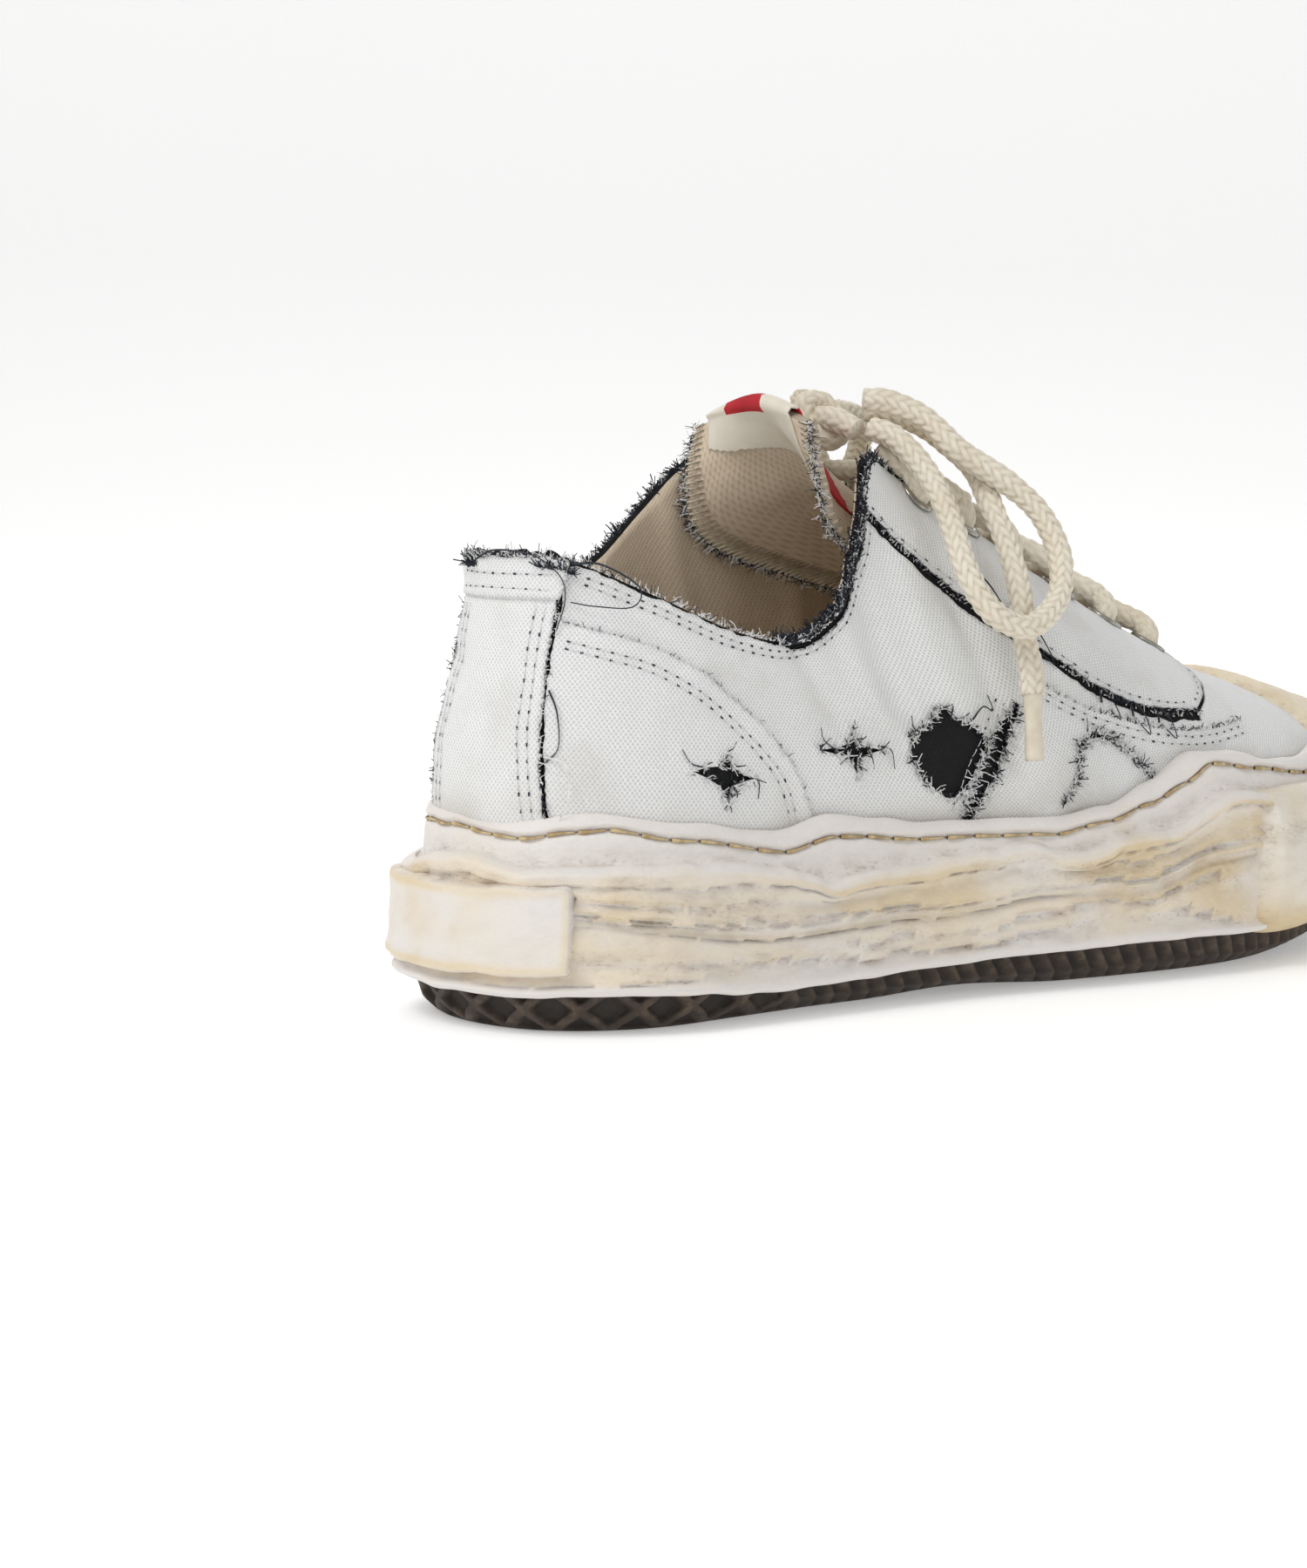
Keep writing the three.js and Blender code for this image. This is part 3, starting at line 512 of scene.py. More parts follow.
def tread_material():
    material, tree, shader = new_material("dark_tread", 0.7)
    dust = ramp(tree, spots(tree, 260.0, 5.0), 0.4, 0.75)
    tone = blend_colours(tree, dust, colour(60, 49, 40), colour(92, 79, 66))
    # Painted shade in the tread's recesses, between the ribs on its edge and in the channels underneath
    recess_shade = maths(tree, "MULTIPLY", attribute(tree, "dark"), 0.8)
    tone = blend_colours(tree, recess_shade, tone, colour(26, 21, 17))
    surface(tree, shader, tone, 0.4, 0.3, spots(tree, 900.0, 4.0))
    return material


def rope_material():
    """Braided cotton, with painted shade between the strands, where the gap value is high."""
    material, tree, shader = new_material("cotton_rope", 0.92, sheen=0.15)
    patch = ramp(tree, spots(tree, 60.0), 0.4, 0.7)
    tone = blend_colours(tree, patch, colour(233, 225, 208), colour(222, 211, 190))
    gap = maths(tree, "MULTIPLY", attribute(tree, "gap"), 0.5)
    tone = blend_colours(tree, gap, tone, colour(170, 156, 130))
    surface(tree, shader, tone, 0.6, 0.25, spots(tree, 2600.0))
    return material


def metal_material():
    material, tree, shader = new_material("eyelet_metal", 0.34, metallic=1.0)
    worn = ramp(tree, spots(tree, 300.0, 4.0), 0.4, 0.7)
    tone = blend_colours(tree, worn, colour(178, 176, 168), colour(142, 138, 129))
    tree.links.new(tone, shader.inputs["Base Color"])
    tree.links.new(maths(tree, "MULTIPLY_ADD", worn, 0.2, 0.25), shader.inputs["Roughness"])
    return material


def plain_material(name, tone, worn, roughness, scale=80.0):
    material, tree, shader = new_material(name, roughness)
    blended = blend_colours(tree, ramp(tree, spots(tree, scale), 0.3, 0.8), tone, worn)
    surface(tree, shader, blended, 0.3, 0.15, spots(tree, 1800.0))
    return material


TREAD = tread_material()
ROPE = rope_material()
METAL = metal_material()
LABEL = plain_material("label_cloth", colour(226, 219, 204), colour(212, 204, 186), 0.8)
RED = plain_material("red_cloth", colour(186, 22, 34), colour(160, 16, 28), 0.75)
BLACK_LABEL = plain_material("black_label", colour(26, 27, 30), colour(48, 48, 50), 0.75)
TIP_SKIN = plain_material("lace_tip", colour(222, 213, 194), colour(206, 195, 172), 0.42, 200.0)

# ------------------------------------------------------------------------------------------ sole

# Levels around the cup, as rib position and height above the ground
RIM = [
    (-15, 58), (-13.5, 56.5), (-12.4, 58), (-11.2, 54.5), (-10.1, 55.5), (-9.2, 51), (-8.4, 49),
    (-7.3, 45.4), (-5.6, 44.6), (-4.4, 47), (-3.6, 45), (-2.7, 46), (-1.6, 50.5), (-0.5, 50),
    (0.4, 48), (1.4, 51), (2.4, 48), (3.2, 44.7), (3.8, 48), (4.5, 45.4), (5.4, 43.6), (7.4, 43),
    (8.2, 45), (8.8, 50), (9.5, 57.5), (10.1, 57), (10.7, 54), (11.5, 53), (12.6, 58), (15, 58),
]
GROOVE = [
    (-15, 53), (-13.5, 52), (-12.4, 53), (-11, 50), (-10, 50.5), (-9.2, 46), (-8.4, 43), (-7.3, 40),
    (-5.6, 40), (-4.4, 42.5), (-3.6, 40.5), (-2.7, 42), (-1.6, 46), (-0.1, 47), (0.7, 45),
    (1.6, 47.5), (2.3, 44), (3.3, 39.5), (3.8, 42.5), (5.1, 40), (7.4, 39), (8.2, 41), (8.8, 45),
    (9.3, 49.5), (9.7, 54), (10.4, 52), (11.5, 49), (15, 53),
]
LEDGE = [
    (-15, 46), (-11, 46), (-10, 44), (-9, 38), (-7.6, 35), (-5, 36), (-3.6, 33), (-2.4, 38),
    (-0.8, 36), (-0.1, 40), (0.3, 41), (1, 38), (1.7, 39.5), (2.7, 38.5), (3.2, 35.5), (3.7, 32),
    (4.2, 33.5), (6.8, 36), (7.7, 34.5), (8.2, 37), (8.9, 38), (9.9, 47), (10.6, 45), (15, 46),
]
MIDDLE = [
    (-15, 32), (-9.6, 29), (-7, 23), (-4, 21), (-1.3, 25), (0, 25), (1.3, 26), (2, 24.5), (3.1, 20),
    (4.6, 21.5), (6.9, 23.5), (8.6, 24), (9.6, 29.5), (11, 31), (15, 32),
]
BOTTOM = [
    (-15, 17.5), (-10, 15.5), (-8.4, 11), (-6, 9.5), (-3, 8), (-1, 9.5), (0, 9), (1.5, 9), (2, 9),
    (3.1, 6.8), (3.9, 7.2), (4.9, 8.5), (7.5, 9.5), (8.4, 10.5), (9.3, 12.5), (10, 15.5), (15, 17.5),
]


def level(knots, t):
    """A height around the cup, easing from knot to knot."""
    places, heights = np.array(knots, float).T
    index = np.clip(np.searchsorted(places, t, "right") - 1, 0, len(places) - 2)
    share = (t - places[index]) / (places[index + 1] - places[index])
    return mix(heights[index], heights[index + 1], 0.35 * share + 0.65 * smooth(share))


GRID_S = distances(beside_feet(GRID_T, 8.0, 0.0))
GRID_S -= np.interp(0, GRID_T, GRID_S)


def run_at(t):
    """Distance along the cup's outside from the heel."""
    return np.interp(t, GRID_T, GRID_S)


def t_at(run):
    return np.interp(run, GRID_S, GRID_T)


def cup_knots(t):
    """Heights and stand-outs of the cup's side, from underneath it to inside the rim."""
    heel, run = heel_share(t), run_at(t)
    rim = level(RIM, t) + 0.35 * noise(run, 9, 3)
    groove = level(GROOVE, t) + 0.3 * noise(run, 8, 4)
    ledge = level(LEDGE, t) + 0.7 * noise(run, 11, 5) + 0.3 * noise(run, 4, 6)
    middle = level(MIDDLE, t) + 0.6 * noise(run, 14, 7)
    clear_of_tread = OUTSOLE_TOP + 0.1 + toe_spring(around_ring([0], t)[..., 0])
    bottom = np.minimum(level(BOTTOM, t), clear_of_tread) + 0.35 * noise(run, 7, 8)
    swell = swell_at(t, rim)
    knots = [
        (bottom + 1.5, 2.0), (bottom + 0.1, 7.5 + heel), (bottom + 1.7, 10.6 + heel), (bottom + 5, 9.4),
        (middle - 2.4, 10.0 - heel), (middle, 8.7 - heel), (middle + 2.6, 9.8 - 1.2 * heel),
        (mix(middle, ledge, 0.55), 8.8 - heel), (ledge - 3.4, 9.8 - 1.2 * heel),
        (ledge - 1.2, 10.6 - 1.4 * heel), (ledge + 0.2, 9.0 - 1.7 * heel), (ledge + 1.0, 6.1 - 1.9 * heel),
        (groove - 1.7, 5.2 - 1.9 * heel), (groove - 0.4, 4.4 - 1.9 * heel), (groove + 0.4, 4.3 - 1.9 * heel),
        (groove + 1.5, 5.0 - 1.9 * heel), (mix(groove, rim, 0.62), 4.6 - 1.8 * heel),
        (rim - 0.5, 3.6 - 1.4 * heel), (rim, 2.2 - 0.8 * heel + swell * 0.5),
        (rim - 0.8, swell + 0.2), (rim - 4, swell - 1.2),
    ]
    return [np.stack([knot[part] + 0 * t for knot in knots]) for part in (0, 1)]


CUP_ROWS = 90
LAYER_EDGES = (0.13, 0.27, 0.4, 0.52, 0.6, 0.72, 0.86)     # as shares of the way up to the ledge
GROOVE_KNOT = 13.5
LEDGE_KNOT = 9.0


def cup_grid(t):
    """Points of the cup's outside, row by row, with what the rubber material wants to know."""
    heights, stands = cup_knots(t)
    # More rows where the side is seen, fewer under the cup and inside the rim
    position = np.interp(np.linspace(0, 1, CUP_ROWS), [0, 0.05, 0.9, 1], [0, 1.5, 17.5, len(heights) - 1])
    z, stand = along_line(heights, position), along_line(stands, position)
    position = position[:, None]
    run = np.broadcast_to(run_at(t), z.shape)
    place = np.stack([run, z], -1)
    rise = (position - 2) / (LEDGE_KNOT - 2) + 0 * z
    body = between(rise, 0, 0.12, 1.02, 0.1)
    # Melted layers: each hangs over the next one down, and they fade in and out along the side
    flow = rise + 0.05 * noise(place, [30, 200], 11) + 0.025 * noise(place, [9, 60], 12)
    drips = 0 * z
    hollow = 0 * z
    for index, at in enumerate(LAYER_EDGES):
        strength = np.clip(0.55 + 0.75 * noise(run, 24, 20 + index), 0, 1)
        off = (flow - at - 0.05 * noise(run, 40, 40 + index)) * 30
        lip = np.where(off > 0, np.exp(-off / 3.2), 0)
        under = bell(off + 0.25, 0.42)
        drips += strength * (1.65 * lip - 1.3 * under)
        hollow += strength * under
    lumps = 0.5 * rough_noise(place, [16, 7], 50) + 0.2 * rough_noise(place, [3.5, 2], 55) - 0.4
    band = between(position, 11, 1.5, 13.2, 0.6)
    stand = stand + body * (drips + lumps) + band * 0.3 * rough_noise(place, [12, 5], 60)
    stand = stand + 0.12 * rough_noise(place, [5, 3], 64) * smooth((position - 2) / 1)
    points = beside_feet(t, stand, z)
    groove, tuck, crest = [bell(position - knot, width) + 0 * z
                           for knot, width in ((GROOVE_KNOT, 0.42), (11.0, 0.55), (9.2, 0.8))]
    cream = np.clip(body * (0.34 + 0.3 * drips) + 0.35 * crest - 0.25 * (position > 13.8), 0, 1)
    dirt = np.clip(body * (hollow * 1.5 + 0.25 + 0.3 * noise(place, [25, 6], 70)) + 0.6 * tuck, 0, 1)
    # The dark value is painted shade in the stitched groove under the rim
    return points, {"cream": cream, "dirt": dirt, "dark": 0.85 * groove}


def ring_positions(fine, coarse):
    """Rib positions around the shoe, fine mm apart on the lateral side and coarse mm on the medial."""
    lateral = t_at(np.arange(run_at(-2.0), run_at(11.6), fine))
    front = t_at(np.arange(run_at(11.6), run_at(float(HALF)), coarse))
    medial = t_at(np.arange(run_at(-float(HALF)), run_at(-2.0), coarse))
    return np.concatenate([medial, lateral, front])


CUP_T = ring_positions(0.58, 1.4)
cup_points, cup_values = cup_grid(CUP_T)
make_piece("sole_cup", cup_points, grid_faces(CUP_ROWS, len(CUP_T), closed=True), RUBBER,
           values=cup_values, nodes=["sidewall"])


# -------------------------------------------------------------------------------- tread

def ground_lift(x):
    """How far the tread's underside is off the floor: the waist between heel and ball, and the toe."""
    waist = np.clip((x + 22) / 32, -1, 1)
    return 1.2 * (np.cos(waist * math.pi) + 1) / 2 + toe_spring(x)


def tread_relief(run, z, t):
    """Ribs on the edge of the tread: crossing ones at the heel, slanting blocks further on."""
    pitch, reach = 15.0, 11.0
    one = np.abs(np.mod(run / pitch + z / reach, 1) - 0.5) * 2
    two = np.abs(np.mod(run / pitch - z / reach, 1) - 0.5) * 2
    crossing = np.maximum(smooth((one - 0.62) / 0.2), smooth((two - 0.62) / 0.2))
    tooth = np.mod((run + 0.8 * z) / 5.5, 1)
    slanting = smooth(tooth / 0.75) * smooth((1 - tooth) / 0.16)
    heel = smooth((4.0 - np.abs(t)) / 1.2)
    return mix(slanting, crossing, heel)


def tread_side():
    """The edge of the tread, with its ribs: points, the painted shade between the ribs at each, and faces."""
    t = ring_positions(0.7, 1.3)
    rows, knee = 26, 0.3    # knee: the share of the way up at which the edge stands upright
    share = np.linspace(0, 1, rows)[:, None]
    x = around_ring([0], t)[..., 0]
    heel, spring = heel_share(t), toe_spring(x)
    bottom, bend, top = mix(-5.0, 0.0, heel), mix(1.0, 3.5, heel), mix(4.0, 5.5, heel)
    low, high = share / knee, (share - knee) / (1 - knee)
    stand = np.where(share < knee, mix(bottom, bend, low), mix(bend, top, high))
    z = np.where(share < knee, mix(ground_lift(x), 3.5 + spring, low), mix(3.5, OUTSOLE_TOP, high) + spring)
    ribs = tread_relief(run_at(t), z - spring, t)
    edge = between(share, 0, 0.08, 1, 0.1)
    points = beside_feet(t, stand + edge * (ribs * 1.9 - 1.2), z)
    return points.reshape(-1, 3), ((1 - ribs) * edge).ravel(), grid_faces(rows, len(t), closed=True)


def tread_floor():
    """The underside: diamond lugs left by two sets of slanting channels."""
    columns, across, pitch, slant = 270, 66, 13.0, math.radians(38)
    t = np.linspace(0.02, HALF - 0.02, columns)
    share = np.linspace(0, 1, across)
    near, far = [beside_feet(side, mix(-5.0, 0.0, heel_share(side)) - 0.05, 0.0) for side in (t, -t)]
    floor = mix(near[:, None], far[:, None], share[None, :, None])
    x, y = floor[..., 0] * math.cos(slant), floor[..., 1] * math.sin(slant)
    places = [np.abs(np.mod((x + sign * y) / pitch, 1) - 0.5) * 2 for sign in (-1, 1)]
    channels = [smooth((place - 0.72) / 0.16) for place in places]
    depth = np.maximum(*channels) * smooth(np.minimum(share, 1 - share) / 0.03)[None]
    floor[..., 2] = ground_lift(floor[..., 0]) + 2.2 * depth
    # The channels' depth also gives their painted shade
    return floor.reshape(-1, 3), depth.ravel(), grid_faces(columns, across, flip=True)


def tread():
    side, side_dark, side_faces = tread_side()
    floor, floor_dark, floor_faces = tread_floor()
    make_piece("tread", np.vstack([side, floor]), [side_faces, floor_faces + len(side)], TREAD,
               values={"dark": np.concatenate([side_dark, floor_dark])}, nodes=["outsole"])


tread()

# ------------------------------------------------- heel plate, toe roll and toe cap

def around_front(t):
    """The same rib position, counted from the medial side once past the toe."""
    return np.where(t > HALF, t - COUNT, t)


def heel_plate():
    """A raised blank plate on the heel: a rounded rectangle that stands out of the cup's skin."""
    left, right = run_at(-1.25), run_at(1.32)
    low, high, corner = 13.0, 35.5, 2.6
    run, z = np.meshgrid(np.arange(left - 2, right + 2, 0.45), np.linspace(low - 2, high + 2, 58))
    sag = 0.5 * noise(run, 22, 90)
    across = np.abs(run - (left + right) / 2) - (right - left) / 2 + corner
    upright = np.abs(z - sag - (low + high) / 2) - (high - low) / 2 + corner
    outside = np.hypot(np.maximum(across, 0), np.maximum(upright, 0))
    edge = outside + np.minimum(np.maximum(across, upright), 0) - corner
    edge = edge + 0.35 * noise(np.stack([run, z], -1), 7, 91)
    raised = smooth(-edge / 1.5)
    lip = np.exp(-((edge + 2.4) / 1.1) ** 2)
    base = np.interp(z, [10, 13, 20, 36], [11.3, 10.9, 10.0, 8.7])
    stand = base - 3.0 + 5.3 * raised + 0.35 * lip
    stand = stand + raised * 0.28 * rough_noise(np.stack([run, z], -1), [13, 8], 92)
    points = beside_feet(t_at(run), stand, z)
    cream = np.clip(0.25 + 0.5 * lip, 0, 1)
    dirt = np.clip(0.1 + 0.9 * np.exp(-((edge + 0.5) / 0.7) ** 2), 0, 1)
    # A painted shadow along the plate's lower edge, where it stands out of the cup, broken up by noise
    plate_edge_shadow = np.exp(-((z - low + 0.1) / 0.5) ** 2) * (np.abs(run - 2) < 26) * smooth(noise(run, 9, 93) + 0.5)
    make_piece("heel_plate_blank", points, grid_faces(*run.shape), RUBBER,
               values={"cream": cream, "dirt": dirt, "dark": 0.55 * plate_edge_shadow}, nodes=["heel_plate"])


def toe_roll():
    first, last, rows, columns = 10.15, 19.85, 52, 340
    t = np.linspace(first, last, columns)[None]
    turn = np.linspace(-0.5, 1.12, rows)[:, None]      # 0 at the roll's bottom, 1 at its top
    bow = np.clip(turn, 0, 1) * math.pi
    side = around_front(t)
    ground = OUTSOLE_TOP + toe_spring(around_ring([0], side[0])[..., 0])
    low = np.minimum(level(BOTTOM, side[0]), ground) - 0.9 + 0.6 * noise(t[0], 0.6, 94)
    high = 46.5 + 1.2 * noise(t[0], 0.8, 95)
    end = smooth(np.minimum(t - first, last - t) / 0.3) ** 0.5
    z = (low + high) / 2 - (high - low) / 2 * np.cos(bow) * (0.9 + 0.1 * end)
    z = z - 3 * np.minimum(turn, 0)
    place = np.stack(np.broadcast_arrays(t * 18, z), -1)
    belly = end * np.sin(bow) ** 0.55 * (10.4 + 0.9 * rough_noise(place, [14, 10], 96))
    fold = bell(turn - 0.62 - 0.05 * noise(place, [20, 60], 97), 0.03)
    tucks = 12 * np.minimum(turn, 0) - 6 * np.maximum(turn - 1, 0) / 0.12
    cream = np.clip(0.3 + 0.7 * smooth((0.4 - turn) / 0.3) + 0 * z, 0, 1)
    dirt = np.clip(0.25 + 0.8 * fold + 0.9 * (1 - end) + 0 * z, 0, 1)
    make_piece("toe_roll", beside_feet(side, 4.5 + belly + tucks - 0.9 * fold * end, z), grid_faces(*z.shape),
               TOE_RUBBER, nodes=["toe_bumper"],
               values={"cream": cream, "dirt": dirt, "dark": 0.35 * (1 - smooth(end / 0.5)) + 0 * z})


def cap_edge(side, share, target):
    """Where the cap's rear edge crosses one side of the shoe, as rib positions on the way to the toe."""
    def is_behind(t):
        start = height_at_level(side * t, level(RIM, side * t) - 1.5)
        return wall(side * t, mix(start, 1, share))[..., 0] < target

    found = halve(is_behind, np.full(len(share), 10.5), np.full(len(share), 15.0), 24)
    return np.where(side > 0, found, COUNT - found)


def toe_cap():
    rows, columns = 46, 190
    share = np.linspace(0, 1, rows)
    target = mix(101.0, 92.0, share) + 1.6 * noise(share, 0.22, 98)
    ends = [cap_edge(side, share, target)[:, None] for side in (1, -1)]
    side = around_front(mix(*ends, np.linspace(0, 1, columns)[None]))
    start = height_at_level(side, level(RIM, side.ravel()).reshape(side.shape) - 1.5)
    v = mix(start, 1, share[:, None])
    rear = np.minimum(np.linspace(0, 1, columns), np.linspace(1, 0, columns))[None]
    lumps = rough_noise(wall(side, v), 14, 99)
    thick = 0.2 + 3.1 * smooth(rear / 0.045) ** 0.6 + 0.35 * lumps * smooth(rear / 0.05)
    dirt = np.clip(0.2 + 0.7 * (1 - smooth(rear / 0.03)) + 0 * v, 0, 1)
    make_piece("toe_cap_skin", off_wall(side, v, thick), grid_faces(rows, columns), TOE_RUBBER,
               values={"cream": 0.75 + 0 * v, "dirt": dirt, "dark": 0 * v}, nodes=["toe_cap"])


heel_plate()
toe_roll()
toe_cap()

# ------------------------------------------------------------------ the upper's two inner layers

# Soft troughs and ridges: from (t, v) to (t, v), half width and depth
CREASES = [
    (3.9, 0.97, 4.3, 0.55, 3.5, -0.7), (4.9, 0.97, 5.0, 0.5, 4.0, 0.7), (5.6, 0.95, 5.4, 0.45, 3.5, -0.8),
    (6.6, 0.75, 6.3, 0.3, 5.0, 0.8), (7.3, 0.6, 6.9, 0.2, 4.0, -1.2), (1.6, 0.9, 2.2, 0.75, 2.5, -0.5),
    (2.4, 0.72, 2.9, 0.85, 2.5, 0.5), (-0.6, 0.6, 0.6, 0.55, 3.0, -0.4), (-0.4, 0.3, 0.7, 0.35, 4.0, 0.4),
    (8.6, 0.3, 9.6, 0.25, 3.0, 0.6), (9.0, 0.15, 10.2, 0.2, 3.0, -0.6), (-5.5, 0.9, -5.2, 0.4, 4.0, -0.8),
    (-7.4, 0.7, -6.8, 0.2, 4.0, -1.0), (-9.5, 0.5, -9.0, 0.2, 4.0, 0.8),
]


def relief(t, v):
    """How far the cloth lifts or sinks: slow waves, small puckers and the creases above."""
    place = to_cloth(t, v)
    lift = 0.6 * noise(place, [22, 30], 80) + 0.2 * rough_noise(place, [7, 9], 81)
    for t0, v0, t1, v1, width, depth in CREASES:
        start, end = to_cloth(t0, v0), to_cloth(t1, v1)
        along = end - start
        share = np.clip(((place - start) @ along) / (along @ along), 0, 1)
        off = np.linalg.norm(place - start - share[..., None] * along, axis=-1)
        lift = lift + 1.5 * depth * np.exp(-(off / width) ** 2)
    return lift * smooth(v / 0.12)


def layer(name, outside, inside, top, columns, material, nodes=()):
    """A thin shell around the whole upper between two distances from its surface."""
    t = np.linspace(-HALF, HALF, columns, endpoint=False)[None]
    v = np.concatenate([[-1, -0.5], np.linspace(-0.1, 1, 28)])[:, None]
    crown = np.where(v > 0.99, top(t), 0)
    sides = ((outside, v, crown), (inside, v[::-1], crown[::-1]))
    points = np.concatenate([off_wall(t, up + extra, away + relief(t, up)) for away, up, extra in sides])
    uv = np.concatenate([to_cloth(t, up) for _, up, _ in sides]) / 10
    faces = grid_faces(len(points), columns, closed=True)
    return make_piece(name, points, faces, material, uv=uv, nodes=nodes)


def collar_fuzz(t):
    """How much of the dark layer stands out above the canvas: the front of the collar, both sides."""
    lateral, medial = between(t, 3.4, 0.6, 8.6, 0.6), between(-t, 0.9, 0.6, 9, 0.8)
    heel = smooth((1.2 - np.abs(t - 0.1)) / 0.5)
    return np.maximum(np.maximum(lateral, medial), 0.7 * heel)


def dark_crown(t):
    """How far the dark layer reaches past the top line, as a share of the rib."""
    wave = 0.6 + 0.4 * noise(t * 20, 1.6, 82)
    return collar_fuzz(t) * 0.034 * wave * (np.abs(t) < VAMP)


layer("under_layer", -0.35, -1.15, dark_crown, 730, BLACK, nodes=["upper"])
layer("lining_layer", -1.25, -2.1, lambda t: 0.004 + 0 * t, 380, LINING)


def insole():
    rows, columns, edge = 120, 40, -2.6
    t = np.linspace(0.01, HALF - 0.01, rows)
    near, far = beside_feet(t, edge, 0.0), beside_feet(-t, edge, 0.0)
    points = mix(near[:, None], far[:, None], np.linspace(0, 1, columns)[None, :, None])
    points[..., 2] = FLOOR + INSOLE_THICKNESS + toe_spring(points[..., 0])
    points[..., 2] += 0.4 * noise(points[..., :2], 25, 83)
    make_piece("insole_cloth", points, grid_faces(rows, columns), LINING, uv=points[..., :2] / 10,
               nodes=["insole"])


insole()

# -------------------------------------------------------------------------------- canvas panels

def resample(line, positions, places):
    """The line's points at places, given the position of each point it has."""
    return np.stack([np.interp(places, positions, column) for column in line.T], -1)


def spline(points, spacing=0.9):
    """A smooth line through points of any dimension, at an even spacing."""
    points = np.asarray(points, float)
    if len(points) > 2:
        points = along_line(points, np.linspace(0, len(points) - 1, 24 * len(points)))
    run = distances(points)
    return resample(points, run, np.linspace(0, run[-1], max(2, int(round(run[-1] / spacing)) + 1)))


def cloth_line(places, spacing=0.9):
    return spline(to_cloth(*np.array(places, float).T), spacing)


def shift(line, distance):
    """The line moved sideways in the cloth plane, to the left of its direction when positive."""
    along = unit(np.gradient(line, axis=0))
    return line + np.stack([-along[:, 1], along[:, 0]], -1) * np.asarray(distance)[..., None]


def ragged(line, amount, seed):
    """A cut edge made uneven by a coarse and a fine wave."""
    run = np.arange(len(line)) * 0.9
    return shift(line, amount * (noise(run, 3.2, seed) + 0.8 * noise(run, 1.1, seed + 1)))


def slit(places, width, seed):
    """A long narrow hole along a line, pointed at both ends."""
    line = cloth_line(places, 0.8)
    share = np.linspace(0, 1, len(line))
    half = width / 2 * np.sin(np.clip(share, 0.02, 0.98) * math.pi) ** 0.35
    half = half * (1 + 0.3 * noise(share * 40, 2, seed))
    return np.vstack([shift(line, half), shift(line, -half)[::-1]])


def cross(centre, left, up, right, down, waist, seed):
    """A four-armed tear with a wide middle."""
    middle = to_cloth(*centre)
    tips = [to_cloth(*place) for place in (left, up, right, down)]
    points = []
    for index, tip in enumerate(tips):
        other = tips[(index + 1) % 4]
        pinch = middle + waist * (unit(tip - middle) + unit(other - middle)) / 2
        points += [tip, mix(tip, pinch, 0.55), pinch, mix(pinch, other, 0.45)]
    points = np.array(points)
    return points + 0.25 * np.stack([noise(points, 1.5, seed), noise(points, 1.5, seed + 9)], -1)


def is_inside(points, outline):
    """Which points lie inside a closed outline, by counting the edges to their right."""
    x, y = points[:, 0:1], points[:, 1:2]
    x0, y0 = outline.T
    x1, y1 = np.roll(outline, -1, axis=0).T
    crosses = (y0 > y) != (y1 > y)
    slope = (x1 - x0) / np.where(y1 == y0, 1e-9, y1 - y0)
    return (crosses & (x < x0 + (y - y0) * slope)).sum(1) % 2 == 1


def nearest(points, targets):
    """Distance from each point to the closest target, in the cloth plane."""
    tree = KDTree(len(targets))
    for index, target in enumerate(targets):
        tree.insert((target[0], target[1], 0), index)
    tree.balance()
    return np.array([tree.find((point[0], point[1], 0))[2] for point in points])


SEAMS = []              # every stitched line in the cloth plane, so that the cloth sinks along it


def seam_dip(points):
    """Cloth sinks along a stitched line and swells beside it."""
    off = nearest(points, np.vstack(SEAMS))
    return -0.3 * bell(off, 0.9) + 0.12 * bell(off - 2, 0.9)


def inside_all(points, loops):
    """Inside the first loop and outside the others, which are holes."""
    kept = is_inside(points, loops[0])
    for loop in loops[1:]:
        kept &= ~is_inside(points, loop)
    return kept


